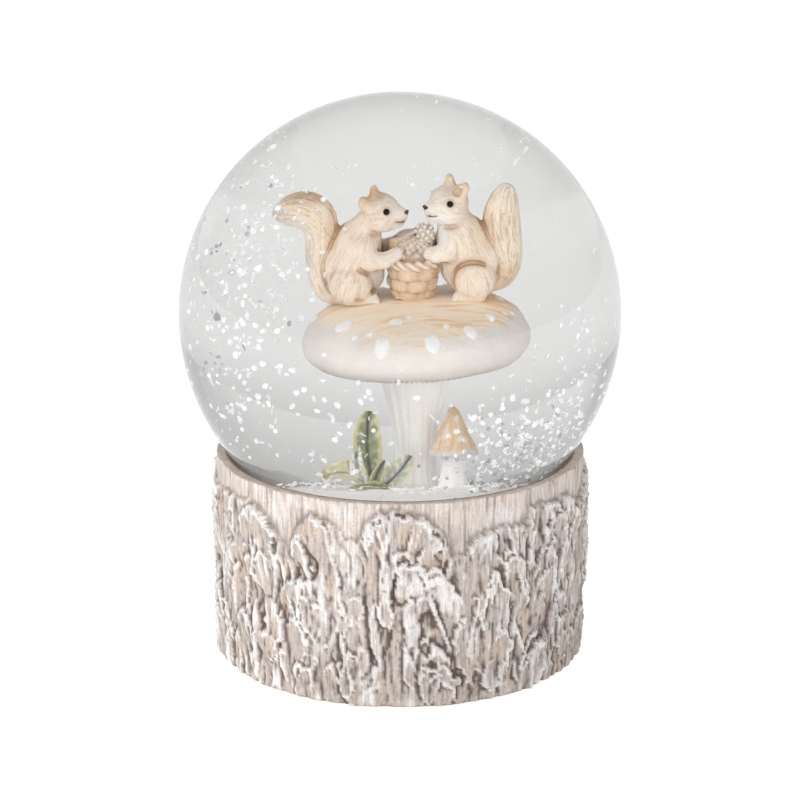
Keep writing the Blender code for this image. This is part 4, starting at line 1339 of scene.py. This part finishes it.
def nut_basket():
    """Woven pot: upright stakes, rows of cane that pass over and under them, and a twisted rim."""
    height = BASKET_RIM - BASKET_FOOT
    outside = ((4.1, BASKET_RIM), (4.55, BASKET_RIM - 0.25), (4.65, BASKET_RIM - 0.8),
               (4.3, BASKET_RIM - 1.4), (4.15, BASKET_FOOT + 0.55 * height),
               (4.05, BASKET_FOOT + 0.3 * height), (3.6, BASKET_FOOT + 0.4), (3.2, BASKET_FOOT))
    inside = ((0, BASKET_RIM - 1.6), (3.3, BASKET_RIM - 1.6), (3.65, BASKET_RIM - 0.3))
    profile = curve_through(inside + outside + ((0, BASKET_FOOT),), 10)
    rough = Noise(71)
    stakes, row_height, rim_twists = 7, 2.0, 15

    def shape(spots, normals, bearing):
        reach = np.hypot(spots[:, 0], spots[:, 1])
        level = BASKET_RIM - 1.35 - spots[:, 2]
        body = smooth(reach, 3.5, 3.9) * smooth(level, -0.1, 0.15)
        body = body * smooth(spots[:, 2], BASKET_FOOT - 0.1, BASKET_FOOT + 0.3)
        row = np.floor(level / row_height)
        across = level / row_height - row
        crown = np.sqrt(np.clip(1 - (2 * across - 1) ** 2, 0, 1))
        over = 0.5 + 0.5 * np.cos(stakes * bearing + np.pi * row)
        rim = smooth(reach, 3.7, 4.0) * smooth(-level, -0.15, 0.1)
        twist = 0.5 + 0.5 * np.cos(rim_twists * bearing + 5.0 * spots[:, 2])
        lumps = rough.fractal(spots / 1.2, 3)
        strands = rough.fractal(np.column_stack([round_axis(bearing) * 2.4, spots[:, 2] / 0.28]), 2)
        relief = body * (0.36 * crown * (0.4 + 0.6 * over) - 0.12) + rim * (0.22 * twist)
        relief = relief + 0.16 * lumps + 0.08 * strands
        high = body * crown * over + rim * (0.4 + 0.6 * twist)
        # Stain in lumps and strands, laid thicker on the right as painted shade
        stain_and_shade = smooth(lumps + 0.5 * strands, -0.1, 0.6) * (0.35 + 0.65 * smooth(spots[:, 0], -1, 4))
        gap = body * smooth(0.5 - crown * (0.3 + over), 0, 0.5) + 0.4 * rim * (1 - twist)
        colour = dabbed(CANE, STAINED_AND_SHADED_CANE, 0.75 * stain_and_shade)
        colour = dabbed(colour, CANE_GAP, 0.8 * gap)
        # Painted highlight: white on the rim's twists and on the weave's high points
        colour = dabbed(colour, WHITE, 0.45 * rim * twist + 0.18 * smooth(high, 0.6, 1.0))
        return spots + normals * relief[:, None] + (*BASKET_CENTRE, 0), np.clip(colour, 0, 1)

    basket = turned_piece("nut_basket_weave", profile, 320, shape, painted_resin_look("basket_paint", 0.6))
    stand_for(basket, "globe", "tan_resin", "nut_basket")


def nuts():
    """Heap of nuts and berries with a small cone at its apex, frosted on top."""
    clay = Clay()
    source = np.random.RandomState(81)
    centre = np.array((*BASKET_CENTRE, BASKET_RIM - 0.6))
    heap_radius, rise, count = 3.85, 0.8, 120
    clay.limb(centre, centre + (0, 0, rise), heap_radius, linear(160, 128, 100), soft=0.1)
    for index in range(count):
        share = (index + 0.5) / count
        flat = 0.99 * math.sqrt(share)
        turn = index * GOLDEN_ANGLE
        out = np.array((flat * math.cos(turn), flat * math.sin(turn), math.sqrt(1 - flat ** 2)))
        place = centre + (0, 0, rise) + out * (heap_radius + source.uniform(-0.05, 0.2))
        size = source.uniform(0.44, 0.62)
        lie = unit(source.normal(size=3)) * 0.07
        brown = NUT_BROWNS[source.randint(len(NUT_BROWNS))]
        clay.limb(place - lie, place + lie, (size, size * 0.85), brown, soft=0.1, fur=0.3)
    cone = centre + (2.0, -1.0, 4.9)
    clay.ball(cone, 1.45, linear(214, 200, 180), soft=0.2)
    scales = 40
    for index in range(scales):
        share = (index + 0.5) / scales
        tall = 1.6 * (1 - 2 * share)
        flat = 1.6 * math.sqrt(1 - (tall / 1.65) ** 2)
        turn = index * GOLDEN_ANGLE
        out = np.array((math.cos(turn) * flat, math.sin(turn) * flat, tall))
        clay.limb(cone + out * 0.7, cone + out * 1.02 + (0, 0, 0.1), (0.46, 0.36), linear(240, 233, 220),
                  soft=0.15, fur=0.0)
    blade = centre + (-1.0, -1.6, 4.6)
    clay.limb(blade, blade + (1.5, -0.2, 1.0), (0.62, 0.3), linear(150, 144, 128), soft=0.1,
              thin=((0.6, 0.2, -1), 0.45))
    acorn = centre + (-3.0, -1.6, 3.4)
    clay.limb(acorn, acorn + (1.1, 0.1, 0.45), (0.95, 0.6), linear(208, 172, 118), soft=0.1, fur=0.3)
    clay.ball(acorn + (-0.45, 0, -0.2), 1.02, linear(170, 128, 84), soft=0.05, thin=((1, 0, 0.3), 0.55))
    verts, faces, normals = clay.skin(0.15)
    rough = Noise(83)
    colour = clay.coat(verts)[0]
    crease = smooth(1 - clay.field(verts + normals * 0.45) / 0.45, 0.1, 0.9)
    frost = smooth(normals[:, 2] + 0.5 * rough.fractal(verts / 0.8, 3), 0.25, 1.0)
    colour = dabbed(colour, WHITE, 0.35 * frost)
    colour = dabbed(colour, NUT_SHADE, 0.5 * crease)
    verts = verts + normals * (0.05 * rough.fractal(verts / 0.5, 2))[:, None]
    pile = make_piece("nut_heap", verts, faces, painted_resin_look("nut_paint", 0.5),
                      paint=np.clip(colour, 0, 1))
    stand_for(pile, "globe", "nut_brown", "nut_pile")


# ---------------------------------------------------------------- leaves

LEAF_DARK = pigment(100, 106, 76)
LEAF_GREEN = pigment(154, 160, 118)
LEAF_EDGE = pigment(226, 219, 160)
LEAF_TIP = pigment(186, 156, 112)
FROST = pigment(246, 248, 248)
LEAF_ROWS, LEAF_COLUMNS, LEAF_THICKNESS = 46, 25, 0.34


def leaf_faces():
    """Upper side, under side and the band round the rim of a leaf's two grids."""
    rows, columns = LEAF_ROWS, LEAF_COLUMNS
    count = rows * columns
    faces = [quad[::-1] for quad in grid_faces(rows, columns, wrap_columns=False)]
    faces += grid_faces(rows, columns, wrap_columns=False, start=count)
    ring = ([(0, column) for column in range(columns)] + [(row, columns - 1) for row in range(1, rows)]
            + [(rows - 1, column) for column in range(columns - 2, -1, -1)]
            + [(row, 0) for row in range(rows - 2, 0, -1)])
    ring = [row * columns + column for row, column in ring]
    faces += [(here, beside, count + beside, count + here) for here, beside in zip(ring, ring[1:] + ring[:1])]
    return faces


def leaf_paint(grid_t, grid_s, veins, vein_line, mottled, frost, pale, yellow):
    """Colours of the upper and the under side: dark midrib, light rim, frost in patches."""
    rim = smooth(np.abs(grid_s) + 0.16 * mottled, 0.56, 0.86)
    colour = dabbed(LEAF_GREEN, LEAF_DARK, np.clip(vein_line * 1.3 + 0.35 * smooth(-veins, 0.2, 1), 0, 1))
    colour += (FROST - colour) * pale
    colour += (LEAF_EDGE * 0.9 - colour) * yellow
    colour = dabbed(colour, LEAF_EDGE, 0.8 * rim)
    frosting = smooth(mottled + 0.25 * veins, 0.32 - 0.5 * frost, 0.75 - 0.3 * frost) * frost
    colour = dabbed(colour, FROST, np.clip(frosting, 0, 1))
    colour = dabbed(colour, LEAF_DARK * 0.6, np.clip(0.95 * vein_line - 0.3 * yellow, 0, 1))
    colour = dabbed(colour, LEAF_TIP, yellow * smooth(grid_t, 0.84, 0.96))
    under = dabbed(LEAF_GREEN, LEAF_EDGE, 0.35 + 0.4 * mottled)
    return np.clip(np.vstack([colour, under]), 0, 1)


def leaf(name, node, base, bend, tip, width, face, fold=0.25, curl=0.0, frost=0.4, pale=0.0, yellow=0.0,
         blunt=0.7, pointed=0.75, seed=1):
    """Resin leaf on a bent midrib, with thickness, a folded blade, side veins and a wavy rim.

    face is the way its upper side looks, fold the rise of the blade's halves, curl how far they roll in;
    blunt moves its widest part towards the tip.
    """
    columns = LEAF_COLUMNS
    base, bend, tip, face = (np.array(place, float) for place in (base, bend, tip, face))
    t = np.linspace(0, 1, LEAF_ROWS)[:, None]
    rib = base * (1 - t) ** 2 + bend * 2 * t * (1 - t) + tip * t ** 2
    along = np.gradient(rib, axis=0)
    along /= np.linalg.norm(along, axis=1)[:, None]
    across = np.cross(along, face)
    across /= np.linalg.norm(across, axis=1)[:, None]
    up = np.cross(across, along)
    half = 0.5 * width * np.clip(np.sin(math.pi * (0.05 + 0.93 * t[:, 0] ** blunt)) ** pointed, 0.12, 1)
    grid_t, grid_s = np.repeat(t[:, 0], columns), np.tile(np.linspace(-1, 1, columns), LEAF_ROWS)
    reach = np.repeat(half, columns)[:, None]
    if curl:
        turn = grid_s * (fold + curl)
        roll = max(abs(fold + curl), 1e-3)
        spread, lift = np.sin(turn) / roll, (1 - np.cos(turn)) / roll
    else:
        spread, lift = grid_s * math.cos(fold), np.abs(grid_s) * math.sin(fold)
    rib_up = np.repeat(up, columns, 0)
    middle = (np.repeat(rib, columns, 0) + np.repeat(across, columns, 0) * (spread[:, None] * reach)
              + rib_up * (lift[:, None] * reach))
    veins = np.sin(34 * grid_t - 5.5 * np.abs(grid_s))
    vein_line = np.exp(-(grid_s * reach[:, 0] / 0.28) ** 2)
    ripple = 0.16 * np.abs(grid_s) ** 2 * np.sin(17 * grid_t + 2.0 * np.sign(grid_s)) * width / 4
    relief = 0.07 * veins * smooth(np.abs(grid_s), 0.08, 0.3) - 0.16 * vein_line + ripple
    half_thick = 0.5 * LEAF_THICKNESS * np.clip(1 - np.abs(grid_s) ** 6, 0.35, 1)
    top = middle + rib_up * (relief + half_thick)[:, None]
    foot = middle + rib_up * (relief * 0.8 - half_thick)[:, None]
    mottled = Noise(seed).fractal(middle / 0.9, 3)
    paint = leaf_paint(grid_t, grid_s, veins, vein_line, mottled, frost, pale, yellow)
    look = painted_resin_look(name + "_paint", 0.45)
    piece = make_piece(name, np.concatenate([top, foot]), leaf_faces(), look, paint=paint)
    recalculate(piece)
    stand_for(piece, "globe", "leaf_paint", node)


def recalculate(piece):
    """Turn all faces of a closed piece outwards."""
    bm = bmesh.new()
    bm.from_mesh(piece.data)
    bmesh.ops.recalc_face_normals(bm, faces=bm.faces)
    bm.to_mesh(piece.data)
    bm.free()


def undergrowth():
    """Sprig of leaves at the toadstool's foot; each has its base, the bend of its midrib and its tip."""
    front, upward = (0, -1, 0.15), (0, -0.35, 1)
    leaf("upright_leaf", "leaf_upright", (-4.6, -8.6, 50.0), (-6.4, -9.0, 57.5), (-5.2, -7.6, 63.8), 6.0,
         front, fold=0.55, frost=0.35, blunt=1.15, pointed=0.5, seed=91)
    leaf("frosted_leaf", "leaf_frosted", (-5.9, -9.9, 50.2), (-8.6, -10.2, 54.0), (-7.2, -9.6, 58.6), 3.0,
         front, fold=0.35, frost=1.0, pale=0.5, seed=92)
    leaf("centre_leaf", "leaf_centre", (-4.9, -10.8, 50.0), (-4.4, -11.6, 53.0), (-2.7, -10.6, 55.4), 2.7,
         (0.35, -1, 0.25), fold=0.5, frost=0.1, seed=93)
    leaf("right_leaf", "leaf_right", (-3.6, -9.6, 50.0), (-0.6, -10.6, 52.0), (1.9, -8.8, 56.0), 4.4,
         (-0.35, -1, 0.4), fold=0.35, frost=0.6, pale=0.35, blunt=1.0, pointed=0.55, seed=94)
    leaf("left_leaf", "leaf_left", (-5.6, -9.9, 50.2), (-9.4, -11.2, 54.8), (-13.4, -9.9, 51.8), 5.0,
         (-0.1, -0.8, 0.9), fold=0.3, curl=-1.1, frost=0.6, pale=0.4, yellow=0.75, blunt=1.0, pointed=0.45,
         seed=95)
    leaf("front_leaf", "leaf_front", (-2.0, -12.6, 50.3), (-5.2, -13.6, 50.9), (-9.0, -12.4, 50.2), 3.0,
         upward, fold=0.3, frost=0.3, seed=96)


# ---------------------------------------------------------------- flakes

FLAKE_INNER = 24.0              # the flakes swirl outside this distance from the axis
FLAKE_OUTER = BALL_RADIUS - BALL_WALL - 1.0
FLAKE_FLOOR = 45.5
FLAKE_THICKNESS = 0.14
SETTLED_COUNT, SETTLED_REACH = 150, 21.5
DRIFT_TURN, DRIFT_SPREAD = -0.9, 0.45    # bearing of the drift at the front right, in radians
# Clouds: name, centre, spread, how many flakes, their sizes, and whether they are in shade
CLOUDS = (
    ("left", (-31, -14, 80), (7, 12, 15), 230, (0.4, 0.85), False),
    ("left_shade", (-34, -8, 82), (6, 10, 14), 40, (0.4, 0.8), True),
    ("shoulder", (-27, -20, 104), (7, 10, 9), 110, (0.4, 0.85), False),
    ("front", (-12, -32, 66), (8, 6, 8), 46, (0.45, 0.9), False),
    ("drift", (24, -24, 58), (9, 9, 6), 260, (0.4, 0.85), False),
    ("drift_shade", (24, -26, 54), (8, 8, 5), 120, (0.4, 0.75), True),
    ("edge", (35, -14, 68), (5, 10, 9), 110, (0.35, 0.65), False),
    ("back", (0, 27, 84), (24, 4, 20), 60, (0.2, 0.36), False),
    ("crown", (0, -6, 122), (20, 14, 4), 40, (0.25, 0.5), False))


def flake_look(name, dim, bright, glow):
    """Thin plastic flake that light passes through, uneven in tone.

    glow stands for the light that it gets from the flakes round it.
    """
    look = Look(name, bright, 0.35, Specular_IOR_Level=0.6)
    tone = look.noise(0.35, 2)
    shade = look.ramp(tone, (0.35, dim), (0.6, bright))
    look.colour(shade)
    look.rough(tone, 0.35, 0.6)
    through = look.add("ShaderNodeBsdfTranslucent")
    look.wire(shade, through.inputs["Color"])
    both = look.add("ShaderNodeMixShader")
    both.inputs[0].default_value = 0.5
    look.shader.inputs["Emission Color"].default_value = (*bright, 1)
    look.shader.inputs["Emission Strength"].default_value = glow
    look.wire(look.shader.outputs[0], both.inputs[1])
    look.wire(through.outputs[0], both.inputs[2])
    look.wire(both.outputs[0], look.output.inputs["Surface"])
    return look.material


def flake_plate(centre, normal, size, source):
    """Small irregular plate with five to seven corners."""
    corners = source.randint(5, 8)
    normal = unit(normal)
    first = unit(np.cross(normal, source.normal(size=3)))
    second = np.cross(normal, first)
    turns = np.arange(corners) * TAU / corners + source.uniform(0, 0.4, corners)
    reach = size * source.uniform(0.75, 1.1, corners)
    ring = first[None] * np.cos(turns)[:, None] + second[None] * np.sin(turns)[:, None] * 0.85
    ring = centre + ring * reach[:, None]
    half_thick = normal * FLAKE_THICKNESS / 2
    verts = np.vstack([ring + half_thick, ring - half_thick])
    faces = [tuple(range(corners)), tuple(range(2 * corners - 1, corners - 1, -1))]
    faces += [(i, corners + i, corners + (i + 1) % corners, (i + 1) % corners) for i in range(corners)]
    return verts, faces


def flake_piece(name, shapes, look, body, *nodes):
    """One piece of many flakes, with flat faces."""
    piece = make_piece(name, *joined(shapes), look)
    piece.data.shade_flat()
    stand_for(piece, body, "white_flake", *nodes)


def drifting_flakes(lit, shaded):
    """Flakes that swirl with the liquid, thick in a few clouds and thin elsewhere."""
    source = np.random.RandomState(101)
    for name, centre, spread, count, sizes, in_shade in CLOUDS:
        shapes = []
        while len(shapes) < count:
            place = np.array(centre) + source.normal(size=3) * spread
            apart = math.hypot(place[0], place[1])
            past_glass = np.linalg.norm(place - BALL_CENTRE) > FLAKE_OUTER
            if apart < FLAKE_INNER or past_glass or place[2] < FLAKE_FLOOR:
                continue
            shapes.append(flake_plate(place, source.normal(size=3), source.uniform(*sizes), source))
        flake_piece(f"flakes_{name}", shapes, shaded if in_shade else lit, "snow")


def marked_flakes(look):
    """The separate flakes of the CAD part, in their places; the ones at the back are smaller."""
    source = np.random.RandomState(121)
    names = sorted(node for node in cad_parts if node.startswith("snowflake_"))
    shapes = []
    for node in names:
        low, high = cad_box(node)
        centre = (low + high) / 2
        size = 0.6 - 0.35 * smooth(centre[1], 5, 25)
        shapes.append(flake_plate(centre, centre - BALL_CENTRE, size, source))
    flake_piece("flakes_apart", shapes, look, "snow", *names)


def settled_flakes(look):
    """Flakes that lie on the snow ground, every third one in a drift at the front right."""
    source = np.random.RandomState(111)
    shapes = []
    for index in range(SETTLED_COUNT):
        turn = source.uniform(0, TAU) if index % 3 else source.normal(DRIFT_TURN, DRIFT_SPREAD)
        reach = SETTLED_REACH * math.sqrt(source.uniform(0.25, 1))
        height = GROUND_TOP + 0.25 - 0.9 * smooth(np.array(reach), 17.0, 22.0)
        place = np.array((reach * math.cos(turn), reach * math.sin(turn), height))
        tilt = (0.4 * source.normal(), 0.4 * source.normal(), 1)
        shapes.append(flake_plate(place, tilt, source.uniform(0.4, 0.75), source))
    flake_piece("settled_flakes", shapes, look, "globe")


# ---------------------------------------------------------------- hidden pieces

# CAD node, material, roughness, (features per millimetre, detail), dark and light colour, other settings
HIDDEN_LOOKS = (
    ("felt_pad", "green_felt", 0.95, (6.0, 5), (40, 48, 38), (66, 76, 60), {"Sheen_Weight": 0.5}),
    ("bottom_plate", "grey_board", 0.85, (1.2, 6), (150, 144, 134), (180, 174, 164), {}),
    ("glue_ring", "amber_glue", 0.3, (0.6, 3), (206, 184, 138), (226, 208, 170),
     {"Transmission_Weight": 0.4}),
    ("rubber_stopper", "black_rubber", 0.7, (2.5, 4), (24, 24, 24), (44, 43, 42), {}),
    ("sealant_bead", "clear_sealant", 0.35, (1.0, 3), (214, 214, 208), (232, 232, 228),
     {"Transmission_Weight": 0.3}))


def plain(node, material):
    """A CAD node that keeps its shape and gets a better material."""
    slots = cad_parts[node].data.materials
    if slots:
        for index in range(len(slots)):
            slots[index] = material
    else:
        slots.append(material)


def hidden_pieces():
    """Better materials for the CAD pieces that keep their shape."""
    for node, name, roughness, grain, dark, light, settings in HIDDEN_LOOKS:
        look = Look(name, roughness=roughness, **settings)
        look.colour(look.ramp(look.noise(*grain), (0.3, linear(*dark)), (0.7, linear(*light))))
        if node == "felt_pad":
            look.bump(look.noise(9.0, 4), 0.2, 0.8)
        plain(node, look.material)


# ---------------------------------------------------------------- stage, light and camera

CAMERA_PLACE = (0, -0.700, 0.2684)      # metres
CAMERA_PITCH = 16.67                    # degrees below the level
CAMERA_LENS, CAMERA_SENSOR = 144.5, 36
# Greys of the surroundings: (height of the direction, grey), and (place from left, 0, to right, 1, grey).
# Dark flags at both sides draw the grey line round the glass, and a bright card stands to the left.
SKY = ((0.0, 0.92), (0.30, 0.57), (0.75, 0.27))
SIDE_CARDS = ((0.03, 0.32), (0.13, 0.52), (0.18, 0.96), (0.24, 1.10), (0.31, 1.0), (0.70, 1.0), (0.80, 0.86),
              (0.88, 0.52), (0.97, 0.32))
SURROUNDINGS_STRENGTH = 1.12
# Name, place, aim, width and height, power
SOFTBOXES = (("key", (-0.60, -0.50, 0.60), (0, 0, 0.05), (0.45, 0.45), 3.6),
             ("front", (0.42, -0.90, 0.30), (0, 0, 0.06), (0.7, 0.5), 3.4),
             ("top", (0.05, -0.22, 0.95), (0, 0, 0.05), (0.6, 0.6), 2.6))
FLOOR_REACH = 3500


def camera():
    """Long lens, a little above the object and straight in front of it."""
    data = bpy.data.cameras.new("camera")
    data.sensor_width = CAMERA_SENSOR
    data.lens = CAMERA_LENS
    data.clip_start = 0.01
    eye = bpy.data.objects.new("camera", data)
    eye.location = CAMERA_PLACE
    eye.rotation_euler = (math.radians(90 - CAMERA_PITCH), 0, 0)
    bpy.context.scene.collection.objects.link(eye)
    bpy.context.scene.camera = eye


def softbox(name, place, aim, size, power):
    """Soft lamp that lights the object and isn't seen in or through the glass."""
    data = bpy.data.lights.new(name, "AREA")
    data.shape = "RECTANGLE"
    data.size, data.size_y = size
    data.energy = power
    lamp = bpy.data.objects.new(name, data)
    lamp.location = place
    lamp.rotation_euler = (Vector(aim) - Vector(place)).to_track_quat("-Z", "Y").to_euler()
    lamp.visible_transmission = False
    lamp.visible_glossy = False
    bpy.context.scene.collection.objects.link(lamp)


def surroundings():
    """World: a ramp from the horizon up, times a ramp from left to right."""
    world = bpy.data.worlds.new("studio")
    bpy.context.scene.world = world
    world.use_nodes = True
    nodes, links = world.node_tree.nodes, world.node_tree.links
    direction = nodes.new("ShaderNodeTexCoord")
    parts = nodes.new("ShaderNodeSeparateXYZ")
    sky = nodes.new("ShaderNodeValToRGB")
    set_stops(sky.color_ramp, SKY)
    sideways = nodes.new("ShaderNodeMapRange")
    sideways.inputs["From Min"].default_value = -1.0
    cards = nodes.new("ShaderNodeValToRGB")
    set_stops(cards.color_ramp, SIDE_CARDS)
    both = nodes.new("ShaderNodeMix")
    both.data_type, both.blend_type = "RGBA", "MULTIPLY"
    factor, first, second = both.inputs[0], both.inputs[6], both.inputs[7]
    factor.default_value = 1.0
    nodes["Background"].inputs["Strength"].default_value = SURROUNDINGS_STRENGTH
    links.new(direction.outputs["Generated"], parts.inputs[0])
    links.new(parts.outputs["Z"], sky.inputs[0])
    links.new(parts.outputs["X"], sideways.inputs["Value"])
    links.new(sideways.outputs["Result"], cards.inputs[0])
    links.new(sky.outputs[0], first)
    links.new(cards.outputs[0], second)
    links.new(both.outputs[2], nodes["Background"].inputs["Color"])


def studio():
    """Pale table, soft lamps and a pale surrounding."""
    bpy.context.scene.view_settings.view_transform = "Standard"
    surroundings()
    for softbox_settings in SOFTBOXES:
        softbox(*softbox_settings)
    look = Look("floor", (0.97, 0.97, 0.97), 0.9, Emission_Color=(1, 1, 1, 1), Emission_Strength=0.55)
    look.bump(look.noise(0.05, 2), 0.05, 0.1)
    corners = [(x * FLOOR_REACH, y * FLOOR_REACH, 0) for x, y in ((-1, -1), (1, -1), (1, 1), (-1, 1))]
    make_piece("floor", corners, [(0, 1, 2, 3)], look.material)


def main():
    """Build everything in its place."""
    camera()
    studio()
    glass_globe()
    liquid()
    bark_base()
    mushroom_cap()
    stem_look = painted_resin_look("stem_paint", 0.55, glow=0.10)
    mushroom_stem(stem_look)
    snow_ground()
    little_mushroom(stem_look)
    squirrels()
    nut_basket()
    nuts()
    undergrowth()
    white_flake = flake_look("snow_flake", linear(236, 238, 240), linear(254, 254, 254), 0.22)
    shaded_flake = flake_look("shaded_flake", linear(176, 180, 184), linear(214, 216, 218), 0.16)
    drifting_flakes(white_flake, shaded_flake)
    marked_flakes(white_flake)
    settled_flakes(white_flake)
    hidden_pieces()


main()
